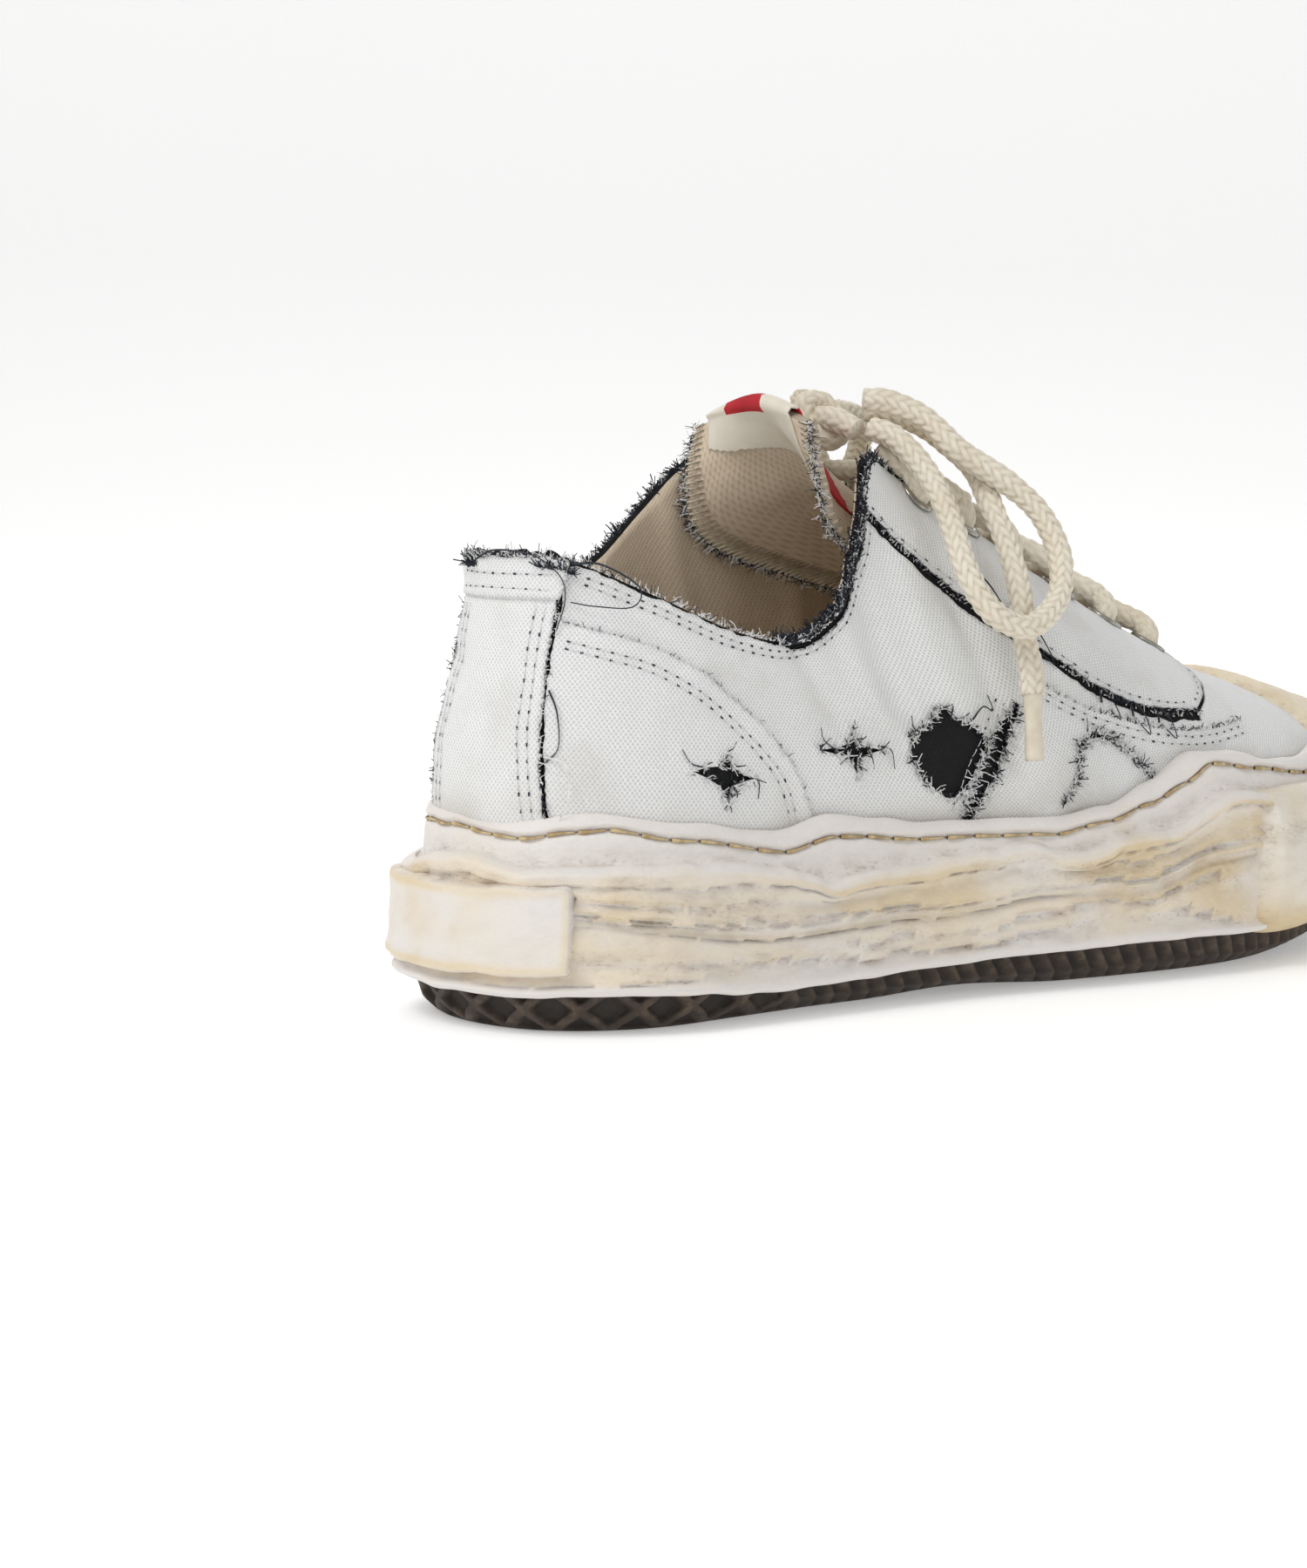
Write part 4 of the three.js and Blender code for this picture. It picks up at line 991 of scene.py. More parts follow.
def panel(name, outline, holes=(), lift=-0.3, thickness=0.8):
    """A cloth panel with thickness, cut to an outline with holes, laid on the upper."""
    pitch = 1.5
    loops = [np.asarray(loop) for loop in (outline, *holes)]
    border = np.vstack(loops)
    low, high = outline.min(0), outline.max(0)
    columns, rows = ((high - low) / pitch).astype(int)
    x, y = np.meshgrid(low[0] + np.arange(columns) * pitch, low[1] + np.arange(rows) * pitch)
    x = x + (np.arange(rows) % 2)[:, None] * pitch / 2
    inner = np.stack([x.ravel(), y.ravel()], -1)
    inner = inner[inside_all(inner, loops)]
    inner = inner[nearest(inner, border) > 0.55]
    edges, start = [], 0
    for loop in loops:
        count = len(loop)
        edges += [(start + step, start + (step + 1) % count) for step in range(count)]
        start += count
    flat = [Vector(point) for point in np.vstack([border, inner])]
    made = delaunay_2d_cdt(flat, edges, [], 0, 1e-4)
    points = np.array([tuple(point) for point in made[0]])
    faces = np.array([face for face in made[2] if len(face) == 3])
    faces = faces[inside_all(points[faces].mean(1), loops)]
    used, faces = np.unique(faces, return_inverse=True)
    points, faces = points[used], faces.reshape(-1, 3)
    t, v = from_cloth(points)
    off = nearest(points, border)
    curl = np.exp(-off / 1.1) * (0.2 + 0.35 * noise(points, 5, 85)) * smooth(v / 0.1)
    under = lift + relief(t, v)
    over = under + thickness + curl + seam_dip(points)
    body = np.concatenate([off_wall(t, v, over), off_wall(t, v, under + 0.5 * curl)])
    count = len(points)
    sides = np.concatenate([faces[:, [0, 1]], faces[:, [1, 2]], faces[:, [2, 0]]])
    known = set(map(tuple, sides.tolist()))
    rim = np.array([side for side in sides.tolist() if (side[1], side[0]) not in known])
    walls = np.stack([rim[:, 1], rim[:, 0], rim[:, 0] + count, rim[:, 1] + count], -1)
    grime = np.clip(0.9 * np.exp(-np.maximum(v - 0.06, 0) * 14) * (0.6 + 0.6 * noise(points, 9, 86)), 0, 1)
    uv = np.concatenate([points, points]) / 10
    make_piece(name, body, [faces, faces[:, ::-1] + count, walls], WHITE, uv=uv,
               values={"grime": np.concatenate([grime, grime])})


# --------------------------------------------------------------------- stitches, frays and threads

rng = np.random.default_rng(7)
THREADS = {"white": [], "ink": []}
DOTS = []
STITCH_PITCH = 3.6
ALONG_FIBRE = np.linspace(0, 1, 4)[:, None]


def on_shoe(points, distance):
    """Places in the cloth plane put back on the upper, with their normals."""
    t, v = from_cloth(points)
    return off_wall(t, v, distance + relief(t, v)), wall_normal(t, v)


def stitches(line, lift):
    """A stitched row: a short thread between needle holes, and a dark dot at each hole."""
    SEAMS.append(line)
    even = spline(line, STITCH_PITCH)
    starts, ends = even[:-1], even[1:]
    along = ends - starts
    for share in (0.0, 0.12):
        spot, normal = on_shoe(starts + along * share, lift + 0.02)
        DOTS.extend(zip(spot, normal, rng.uniform(0.16, 0.32, len(spot))))
    shares = np.array([0.2, 0.4, 0.7, 0.93])
    places = starts[:, None] + along[:, None] * shares[None, :, None]
    points, _ = on_shoe(places, lift + np.array([-0.05, 0.12, 0.12, -0.05]))
    THREADS["white"].extend(zip(points, np.full(len(points), 0.16)))


def fray(line, lift, side, density, length, colours=("white",), rise=0.5, radius=0.13):
    """Loose fibres along a raw edge, leaning to one side of the line and up off the shoe."""
    base, normal = on_shoe(line, lift)
    along = unit(np.gradient(base, axis=0))
    sideways = unit(np.cross(normal, along)) * side
    run = np.linalg.norm(np.diff(base, axis=0), axis=1).sum()
    for _ in range(int(run * density)):
        at = rng.integers(len(line))
        lean = sideways[at] * rng.uniform(0.3, 1.1) + normal[at] * rng.normal(rise, 0.4)
        lean = unit(lean + along[at] * rng.normal(0, 0.8))
        bend = unit(rng.normal(0, 1, 3)) * rng.uniform(0.2, 0.9)
        size = rng.uniform(*length) * rng.uniform(0.5, 1.2)
        strand = base[at] + size * (lean * ALONG_FIBRE + bend * ALONG_FIBRE ** 2 * 0.7)
        strand = strand + 0.12 * size * rng.normal(0, 1, (len(ALONG_FIBRE), 3)) * ALONG_FIBRE
        THREADS[colours[rng.integers(len(colours))]].append((strand, radius * rng.uniform(1.2, 2.0)))


def thread_loop(places, lift, colour_name, radius):
    """One long loose thread lying on the upper. Each place is (t, v, height off the cloth)."""
    route = np.array(places, float)
    points, _ = on_shoe(to_cloth(route[:, 0], route[:, 1]), lift + route[:, 2])
    THREADS[colour_name].append((spline(points, 0.8), radius))


def tubes(name, strands, material, corners=4):
    """Many thin tubes as one mesh."""
    points, faces, start = [], [], 0
    turn = np.arange(corners) / corners * 2 * math.pi
    for line, radius in strands:
        along = unit(np.gradient(line, axis=0))
        other = np.where(np.abs(along[:, 2:3]) < 0.8, [[0.0, 0, 1]], [[1.0, 0, 0]])
        first = unit(np.cross(along, other))
        second = np.cross(along, first)
        taper = np.sqrt(np.clip(np.linspace(1, -0.2, len(line)), 0.25, 1))[:, None, None] * radius
        ring = first[:, None] * np.cos(turn)[None, :, None] + second[:, None] * np.sin(turn)[None, :, None]
        points.append((line[:, None] + ring * taper).reshape(-1, 3))
        faces.append(grid_faces(len(line), corners, closed=True) + start)
        start += len(line) * corners
    make_piece(name, np.vstack(points), np.vstack(faces), material)


def dots(name, material):
    """Needle holes: small dark studs, each a flattened six-sided dome."""
    points, faces = [], []
    turn = np.arange(6) / 6 * 2 * math.pi
    for index, (spot, normal, size) in enumerate(DOTS):
        first = unit(np.cross(normal, [0.3, 0.2, 1.0]))
        second = np.cross(normal, first)
        ring = spot + size * (first * np.cos(turn)[:, None] + second * np.sin(turn)[:, None])
        points.append(np.vstack([ring, spot + normal * 0.14]))
        faces += [(7 * index + step, 7 * index + (step + 1) % 6, 7 * index + 6) for step in range(6)]
    make_piece(name, np.vstack(points), np.array(faces), material)


# Edges of the panels as places on the upper
STRIP_LEFT = [(-0.75, -0.03), (-0.75, 0.3), (-0.65, 0.6), (-0.6, 0.84)]
STRIP_RIGHT = [(1.03, -0.03), (0.93, 0.26), (0.9, 0.5), (0.91, 0.68), (0.96, 0.84)]
COUNTER = [(1.02, 0.76), (1.52, 0.76), (2.05, 0.76), (2.62, 0.69), (3.1, 0.54), (3.44, 0.38), (3.61, 0.22),
           (3.75, -0.03)]
EYESTAY = [(6.3, 1.0), (6.58, 0.88), (6.8, 0.78), (7.1, 0.68), (7.42, 0.61), (7.8, 0.51), (8.3, 0.44),
           (8.7, 0.38), (9.1, 0.35), (9.6, 0.345), (10.1, 0.37)]
EYESTAY_FRONT = [(10.1, 0.37), (10.5, 0.48), (10.85, 0.62), (10.95, 0.8), (11, 1.0)]
SLANT = [(7.35, 0.33), (6.84, 0.25), (6.36, 0.15), (5.95, 0.0)]
HOLE = [(5.2, 0.3), (5.5, 0.36), (6.05, 0.39), (6.35, 0.33), (6.66, 0.26), (6.24, 0.17), (5.85, 0.11),
        (5.4, 0.17)]
VAMP_SEAM = [(7.7, 0.4), (8.1, 0.33), (8.7, 0.29), (9.4, 0.27), (10.1, 0.29), (10.8, 0.34)]
TOP = 0.985
# Tears: centre, left, upper, right and lower tips, and width of the middle in mm
CROSSES = [
    ((2.71, 0.27), (2.37, 0.28), (2.72, 0.37), (3.01, 0.275), (2.74, 0.15), 4.2),
    ((4.36, 0.38), (3.9, 0.405), (4.45, 0.47), (4.8, 0.35), (4.33, 0.26), 3.0),
]
MEDIAL_CROSS = ((-3.6, 0.4), (-3.2, 0.42), (-3.6, 0.52), (-4.0, 0.38), (-3.6, 0.27), 2.0)
SLITS = [
    ([(8.0, 0.2), (8.3, 0.235), (8.65, 0.22)], 1.9),
    ([(8.0, 0.195), (7.85, 0.12), (7.6, 0.05)], 0.5),
    ([(8.65, 0.215), (8.85, 0.16), (9.05, 0.1)], 0.5),
]
SLANT_GAP = 4.0


def mirrored(places):
    return [(-t, v) for t, v in places]


def closed_line(points):
    return cloth_line([*points, points[0]], 0.8)[:-1]


def top_run(start, end, v=TOP):
    """Along the top line from one rib position to another."""
    count = max(2, int(abs(run_at(end) - run_at(start)) / 0.9))
    return to_cloth(np.linspace(start, end, count), np.full(count, v))


def bottom_run(start, end):
    return top_run(start, end, -0.03)


def collar_edge(side):
    """The canvas edge under the collar: it stops short where the dark layer shows above it."""
    line = top_run(side * 6.25, side * 1.0)
    return shift(line, side * 2.2 * collar_fuzz(from_cloth(line)[0]))


def eyelet_places(side):
    """Where the six eyelets sit, front first: rib position and height."""
    t = np.linspace(7, VAMP, 400)
    length = np.interp(side * t, GRID_T, GRID_L)
    v = 1 - 10.0 / length
    x = wall(side * t, v)[:, 0]
    return [(side * np.interp(target, x, t), np.interp(target, x, v)) for target in 60 - 16.6 * np.arange(6)]


def circle_hole(place, radius):
    turn = np.linspace(0, 2 * math.pi, 20, endpoint=False)
    return to_cloth(*place) + radius * np.stack([np.cos(turn), np.sin(turn)], -1)


def tears(side, seed):
    """The holes in one side's canvas, with the gap along the slanting seam first."""
    if side < 0:
        return [slit(mirrored(SLANT), SLANT_GAP, seed), cross(*MEDIAL_CROSS, seed + 1)]
    crosses = [cross(*places, seed + 1 + index) for index, places in enumerate(CROSSES)]
    slits = [slit(places, width, seed + 5 + index) for index, (places, width) in enumerate(SLITS)]
    return [slit(SLANT, SLANT_GAP, seed), *crosses, ragged(closed_line(HOLE), 0.8, seed + 3), *slits]


def side_panels(side):
    """The canvas of one side. The lateral side has every tear; the medial one mirrors the cut."""
    lateral = side > 0
    word, seed = ("lateral", 100) if lateral else ("medial", 200)
    edges = (COUNTER, EYESTAY, EYESTAY_FRONT, SLANT, STRIP_RIGHT)
    edges = [cloth_line(edge if lateral else mirrored(edge)) for edge in edges]
    counter, eyestay, front, slant, right = edges
    outline = np.vstack([
        bottom_run(side * 1.0, side * 14.95), cloth_line([(side * 14.95, 0), (side * 14.95, 1)], 1.2)[1:-1],
        top_run(side * 14.95, side * 11.2, 1.0), shift(front[::-1], 0.6 * side)[1:],
        ragged(shift(eyestay[::-1], 2.7 * side), 0.4, seed)[1:-1],
        ragged(collar_edge(side), 0.35, seed + 2),
        ragged(shift(right[::-1], 1.0 * side), 0.3, seed + 4)[1:-1],
    ])
    holes = tears(side, seed + 5)

    # Stitched rows first, so that the cloth sinks along them
    for distance in (2.2, 4.0):
        stitches(shift(top_run(side * 1.3, side * 6.3, 1.0), -side * (distance + 0.6)), 0.5)
        stitches(shift(counter, -side * (distance + 2.0))[3:-6], 1.0)
        stitches(shift(slant, -side * (distance + 0.4))[2:-3], 0.5)
    stitches(shift(eyestay, side * 2.2)[4:-2], 1.0)
    stitches(shift(front, side * 2.0)[2:-2], 1.0)
    if lateral:
        vamp_seam = cloth_line(VAMP_SEAM)
        for distance in (-1.6, -3.6):
            stitches(shift(vamp_seam, distance), 0.5)

    panel("canvas_" + word, outline, holes)
    panel("eyestay_" + word, np.vstack([
        ragged(shift(eyestay, side * 0.6), 0.3, seed + 14), shift(front, side * 0.6)[1:],
        top_run(side * 11.0, side * 6.4, 1.0),
    ]), [circle_hole(place, 3.7) for place in eyelet_places(side)], lift=0.15, thickness=0.75)
    panel("counter_" + word, np.vstack([
        bottom_run(side * 3.72, side * 1.05), ragged(shift(right, side * -1.0), 0.3, seed + 16)[1:-3],
        ragged(counter, 0.3, seed + 17),
    ]), holes[1:2], lift=0.52, thickness=0.55)

    for hole in holes:
        ring = np.vstack([hole, hole[:1]])
        area = ((ring[1:, 0] - ring[:-1, 0]) * (ring[1:, 1] + ring[:-1, 1])).sum()
        turn = 1 if area > 0 else -1
        fray(hole, 0.7, -turn, 2.6, (0.8, 2.4), ("white", "white", "ink"), 0.3, 0.16)
        fray(hole, 0.7, turn, 3.0, (0.8, 3.0), ("white", "white", "white", "ink"), 0.7, 0.17)
    fray(shift(eyestay, side * 0.4), 0.5, -side, 2.4, (0.7, 1.8), ("ink", "ink", "white"))
    fray(shift(eyestay, -side * 1.2), 0.4, side, 1.6, (0.7, 1.7), ("white", "ink"))
    if lateral:
        fray(vamp_seam, 0.5, 1, 5.0, (0.7, 2.0), ("white", "white", "ink"), 0.4)
    fray(counter, 1.0, side, 1.5, (0.5, 1.5), ("white", "white", "ink"), 0.6, 0.1)
    fray(right, 0.9, -side, 1.2, (0.6, 1.8), ("ink", "white"))
    collar = top_run(side * 1.1, side * 8.6, 1.0)
    fray(collar, 0.4, side, 4.5, (0.9, 2.3), ("white", "white", "white", "ink"), 0.2)
    start, dark, mixed = (3.6, 11.0, 7.0) if lateral else (1.2, 7.0, 4.5)
    front_part = top_run(side * start, side * 8.8, 1.0)
    fray(front_part, -0.2, side, dark, (1.4, 3.2), ("ink",), 0.35, 0.2)
    fray(shift(front_part, -side * 1.0), 0.6, side, mixed, (1.0, 2.4), ("ink", "ink", "white"), 0.5, 0.17)


for row, inward in ((STRIP_LEFT, -1), (STRIP_RIGHT, 1)):
    for distance in (2.6, 5.0):
        stitches(shift(cloth_line(row), inward * distance)[3:-2], 1.5)
for middle, end in ((0.875, 0.87), (0.93, 0.93)):
    stitches(cloth_line([(-0.55, end), (0.1, middle), (0.9, end)]), 1.9)
side_panels(1)
side_panels(-1)

strip_left, strip_right = cloth_line(STRIP_LEFT), cloth_line(STRIP_RIGHT)
panel("heel_strip", np.vstack([
    bottom_run(-0.75, 1.03), ragged(strip_right, 0.3, 300)[1:], top_run(0.96, -0.6, 0.86)[1:-1],
    ragged(strip_left[::-1], 0.3, 302)[:-1],
]), lift=0.55, thickness=0.9)
panel("heel_top", np.vstack([
    cloth_line([(-0.62, 0.84), (0.1, 0.835), (0.98, 0.84)]), cloth_line([(1.0, 0.86), (1.08, 0.99)])[1:],
    ragged(top_run(1.08, -0.75, 0.99), 0.4, 304)[1:-1], cloth_line([(-0.75, 0.99), (-0.65, 0.86)]),
]), lift=1.1, thickness=0.9)
fray(strip_right, 1.2, -1, 2.5, (0.6, 2.0), ("ink", "white", "white"))
fray(strip_left, 1.2, 1, 2.0, (0.6, 2.0), ("white", "ink"))
fray(top_run(-0.8, 1.1, 0.99), 1.2, 1, 7.0, (0.8, 2.6), ("white", "white", "ink"), rise=0.2)
for at in (-0.6, 0.75):
    fray(top_run(at, at + 0.35, 0.95), 1.6, 1, 14.0, (1.0, 3.4), ("ink",), rise=0.5, radius=0.18)
# Loose threads: places as (t, v, height off the cloth), height of the cloth, colour and radius
HEEL_THREADS = [
    ([(-0.3, 0.97, 2), (0.2, 1.02, 3), (0.7, 1.0, 3), (1.0, 0.93, 3), (1.05, 0.84, 2), (0.98, 0.72, 1.2)],
     0.6, "ink", 0.34),
    ([(1.1, 0.99, 1), (1.4, 1.03, 3), (1.75, 1.0, 3.5), (1.7, 0.9, 3), (1.35, 0.85, 2), (1.1, 0.84, 1)],
     0.6, "ink", 0.34),
    ([(0.98, 0.26, 1), (1.2, 0.24, 2.5), (1.25, 0.12, 2.5), (1.12, 0.03, 1.5), (1.03, 0.08, 1)],
     0.5, "white", 0.3),
    ([(0.97, 0.5, 1), (1.08, 0.42, 1.5), (1.12, 0.3, 1), (1.0, 0.24, 0.8)], 0.5, "ink", 0.3),
]
TEAR_THREADS = [
    ([(2.5, 0.3, 0.2), (2.35, 0.31, 0.8), (2.27, 0.36, 0.6)], 0.7, "ink", 0.25),
    ([(2.95, 0.28, 0.2), (3.05, 0.26, 0.8), (3.05, 0.18, 0.6)], 0.7, "ink", 0.25),
    ([(4.1, 0.4, 0.2), (3.95, 0.46, 0.8), (3.97, 0.52, 0.6)], 0.7, "ink", 0.25),
    ([(4.75, 0.37, 0.2), (4.9, 0.34, 1.0), (4.87, 0.26, 0.8)], 0.7, "ink", 0.25),
    ([(6.5, 0.33, 0.2), (6.75, 0.35, 1.2), (6.9, 0.33, 1.4), (6.95, 0.37, 1)], 0.7, "ink", 0.3),
]
# Curls under the eyestay: t, v and size
CURLS = [(7.75, 0.6, 1), (8.0, 0.5, 1.2), (8.6, 0.33, 0.7), (8.95, 0.3, 0.8), (9.3, 0.29, 0.8)]
for loose in HEEL_THREADS:
    thread_loop(*loose)
for t_curl, v_curl, size in CURLS:
    thread_loop([(t_curl, v_curl, 0.3), (t_curl + 0.1 * size, v_curl + 0.06 * size, 1.2),
                 (t_curl + 0.2 * size, v_curl + 0.01, 1.4), (t_curl + 0.16 * size, v_curl - 0.07 * size, 1.2),
                 (t_curl + 0.05 * size, v_curl - 0.03 * size, 0.6)], 0.7, "ink", 0.34)
for loose in TEAR_THREADS:
    thread_loop(*loose)
tubes("white_fibres", THREADS["white"], FLUFF, corners=3)
tubes("black_fibres", THREADS["ink"], INK, corners=3)
dots("needle_holes", INK)


def sole_stitches():
    """Long waxed stitches lying in the groove under the rim."""
    strands = []
    pitch, length = 8.2, 7.2
    for start in np.arange(run_at(-HALF) + 1, run_at(HALF) - pitch, pitch):
        run = start + np.linspace(0, length, 7)
        t = t_at(run)
        z = level(GROOVE, t) + 0.3 * noise(run, 8, 4)
        stand = 4.5 - 1.9 * heel_share(t) + 0.35 * np.sin(np.linspace(0, 1, 7) * math.pi)
        strands.append((beside_feet(t, stand, z), 0.5))
    tubes("sole_thread", strands, SEAM_THREAD, corners=8)


sole_stitches()

# ------------------------------------------------------------------------------- eyelets and tongue


def eyelets():
    """A rolled ring in each eyelet hole, from radius and height points turned about the hole's axis."""
    outline = [(2.8, -2.0), (3.5, -2.0), (3.55, 0.7), (4.9, 0.85), (5.2, 1.15), (4.9, 1.7), (4.0, 1.95),
               (3.1, 1.7), (2.8, 1.1), (2.8, -2.0)]
    turn = np.linspace(0, 2 * math.pi, 40, endpoint=False)
    ring = np.array([(radius * math.cos(a), radius * math.sin(a), z) for radius, z in outline for a in turn])
    points, faces = [], []
    for side in (1, -1):
        t, v = np.array(eyelet_places(side)).T
        for place, normal in zip(off_wall(t, v, relief(t, v)), wall_normal(t, v)):
            first = unit(np.cross(normal, [1.0, 0.1, 0]))
            second = np.cross(normal, first)
            points.append(place + ring[:, 0:1] * first + ring[:, 1:2] * second + ring[:, 2:3] * normal)
            faces.append(grid_faces(len(outline), len(turn), closed=True) + (len(points) - 1) * len(ring))
    names = [f"eyelet_{side}_{index}" for side in ("lateral", "medial") for index in range(1, 7)]
    make_piece("eyelet_rings", np.vstack(points), np.vstack(faces), METAL, nodes=names)


eyelets()

# Sections of the tongue above the throat: lateral edge, centre and medial edge
TONGUE_TOP = [
    [(-58, -21, 141), (-57, 2, 146.5), (-56, 25, 139)],
    [(-56, -22.5, 127), (-49, 2, 139), (-59, 27, 125)],
    [(-47, -23.5, 112), (-39.5, 1.5, 131), (-51, 28, 111)],
]
TONGUE_ACROSS = 61
TONGUE_DOWN = 150


def even_row(points):
    line = spline(points, 0.5)
    return resample(line, np.linspace(0, 1, len(line)), np.linspace(0, 1, TONGUE_ACROSS))


def tongue_surface():
    """The tongue's outer face, section by section from its top to the toes."""
    rows = [even_row(section) for section in TONGUE_TOP]
    heights, under = np.array([0.62, 0.74, 0.86]), -7.5
    for t in np.arange(8.1, 12.6, 0.5):
        near, far = off_wall(t, heights, under), off_wall(-t, heights, under)[::-1]
        middle = (wall(t, 1.0) + wall(-t, 1.0)) / 2 - [0, 0, 5.5]
        rows.append(even_row(np.vstack([near, middle[None], far])))
    rows = np.array(rows)
    sections = along_line(rows.reshape(len(rows), -1), np.linspace(0, len(rows) - 1, TONGUE_DOWN))
    return sections.reshape(TONGUE_DOWN, TONGUE_ACROSS, 3)


def shell(name, outer, thickness, material, nodes=(), soft=0.0, seed=0):
    """A sheet with thickness from a grid of points, closed all round its edge."""
    normal = unit(np.cross(np.gradient(outer, axis=0), np.gradient(outer, axis=1)))
    outer = outer + normal * soft * rough_noise(outer, 12, seed)[..., None]
    inner = outer - normal * thickness
    rows, columns = outer.shape[:2]
    loop = np.concatenate([outer, inner[:, ::-1]], 1)
    around = 2 * columns
    uv = np.stack(np.meshgrid(np.linspace(0, 6, rows), np.linspace(0, 12, around), indexing="ij"), -1)
    caps = []
    for row in (0, rows - 1):
        first, last = row * around, (row + 1) * around - 1
        for step in range(columns - 1):
            quad = [first + step, first + step + 1, last - step - 1, last - step]
            caps.append(quad if row else quad[::-1])
    faces = [grid_faces(rows, around, closed=True), np.array(caps)]
    return make_piece(name, loop, faces, material, uv=uv, nodes=nodes), inner, normal


tongue_face = tongue_surface()
_, tongue_inner, tongue_normal = shell("tongue_cloth", tongue_face, 2.6, LINING, nodes=["tongue"],
                                       soft=0.5, seed=120)


def tongue_edges():
    """Overlocked edges: a zigzag of cream thread, with a white and black fringe outside it."""
    strands, dark, pale = [], [], []
    for column, inwards in ((0, 1), (TONGUE_ACROSS - 1, -1)):
        edge = tongue_inner[:118, column]
        inset = tongue_inner[:118, column + inwards * 5]
        line_edge, line_inset = spline(edge, 1.6), spline(inset, 1.6)
        count = min(len(line_edge), len(line_inset))
        for step in range(count - 1):
            away = unit(line_edge[step] - line_inset[step])
            under = unit(np.cross(away, line_edge[step + 1] - line_edge[step])) * -inwards
            pin = [line_edge[step] + under * 0.2, line_inset[step] + under * 0.3,
                   line_edge[step + 1] + under * 0.2]
            strands.append((np.array(pin), 0.3))
            for _ in range(14):
                start = line_edge[step] + rng.normal(0, 0.5, 3)
                lean = unit(away + rng.normal(0, 0.6, 3)) * rng.uniform(0.8, 2.8)
                bend = rng.normal(0, 0.5, 3)
                group = dark if rng.random() < 0.5 else pale
                group.append((start + lean * ALONG_FIBRE + bend * ALONG_FIBRE ** 2, 0.17))
    tubes("overlock", strands, CREAM_THREAD, corners=5)
    tubes("tongue_fringe_black", dark, INK, corners=3)
    tubes("tongue_fringe_white", pale, FLUFF, corners=3)


tongue_edges()


def label():
    """The folded label over the tongue's top: plain cream inside with a red bar, black outside with
    a red end. It carries no words and no picture."""
    columns = slice(9, 53)
    down = 31
    normal = tongue_normal[:down, columns]
    inside = tongue_inner[:down, columns] - normal * 0.5
    outside = tongue_face[:down, columns] + normal * 0.6
    up = np.array([-1.5, 0, 2.2])
    fold = np.stack([inside[0] + up * 0.6, (inside[0] + outside[0]) / 2 + up, outside[0] + up * 0.6])
    sheet = np.concatenate([inside[::-1], fold, outside])
    rows, width = sheet.shape[:2]
    slanted = np.linspace(0.95, 0.3, width)
    for column in range(width):
        keep = int(down * slanted[column])
        line = sheet[down - keep:rows - down + keep, column]
        sheet[:, column] = resample(line, np.arange(len(line)), np.linspace(0, len(line) - 1, rows))
    piece, _, _ = shell("tongue_label", sheet, 0.45, LABEL)
    piece.data.materials.append(RED)
    piece.data.materials.append(BLACK_LABEL)
    fold_row, red_columns, bar_rows, bar_columns = rows * 0.5, 10, 6, range(16, 34)
    for polygon in piece.data.polygons:
        if len(polygon.vertices) != 4:
            continue
        row, column = divmod(min(polygon.vertices), 2 * width)
        column = min(column, 2 * width - 1 - column)
        if row > fold_row:
            polygon.material_index = 1 if column < red_columns else 2
        elif fold_row - bar_rows < row and column in bar_columns:
            polygon.material_index = 1


label()

# ---------------------------------------------------------------------------------------- laces

STRANDS = 8             # strands of the braid in each direction
CELL = 3.2              # how far along the rope one strand runs while it crosses one other


def rope(points, diameter, step=0.5, corners=44, flat_end=0.0):
    """A braided cord: rings of points with the strands standing out, and the painted shade of the gaps
    between them.
    flat_end is how long a stretch before the end is pressed flat."""
    line = spline(points, step)
    along = unit(np.gradient(line, axis=0))
    first = np.empty_like(line)
    first[-1] = unit(np.cross(along[-1], (0.0, 1.0, 0.0)))
    for index in range(len(line) - 2, -1, -1):
        first[index] = unit(first[index + 1] - along[index] * (first[index + 1] @ along[index]))
    second = np.cross(along, first)
    run = (np.arange(len(line)) * step)[:, None]
    turn = np.linspace(0, 1, corners, endpoint=False)[None]
    one = STRANDS * turn + run / CELL
    two = STRANDS * turn - run / CELL
    over = (np.floor(one) + np.floor(two)) % 4 < 2
    across = np.where(over, one, two) % 1
    share = np.where(over, (np.floor(one) + two) % 4, (one + np.floor(two)) % 4 - 2) / 2
    round_over = np.sqrt(np.clip(1 - (2 * across - 1) ** 2, 0, 1))
    height = round_over * (0.5 + 0.5 * np.sin(math.pi * np.clip(share, 0, 1)))
    left = (len(line) - 1) * step - run
    pressed = smooth((flat_end - left) / (0.6 * max(flat_end, 1))) if flat_end else 0 * run
    radius = diameter / 2 * (1 + 0.05 * noise(run[:, 0], 6, 130)[:, None])
    radius = radius + (height - 0.8) * 0.75
    wide, thin = radius * (1 + 0.24 * pressed), radius * (1 - 0.2 * pressed)
    angle = 2 * math.pi * turn
    ring = line[:, None] + first[:, None] * (wide * np.cos(angle))[..., None]
    ring = ring + second[:, None] * (thin * np.sin(angle))[..., None]
    # Painted shade between the strands, strongest where the braid sinks lowest
    gap = np.clip(1.15 - 1.35 * height, 0, 1)
    return ring, gap, line


def closed_ends(rings):
    """Rings with one more drawn in at each end, so that the cord looks solid there."""
    first, last = [mix(rings[row].mean(0), rings[row], 0.05)[None] for row in (0, -1)]
    return np.concatenate([first, rings, last])


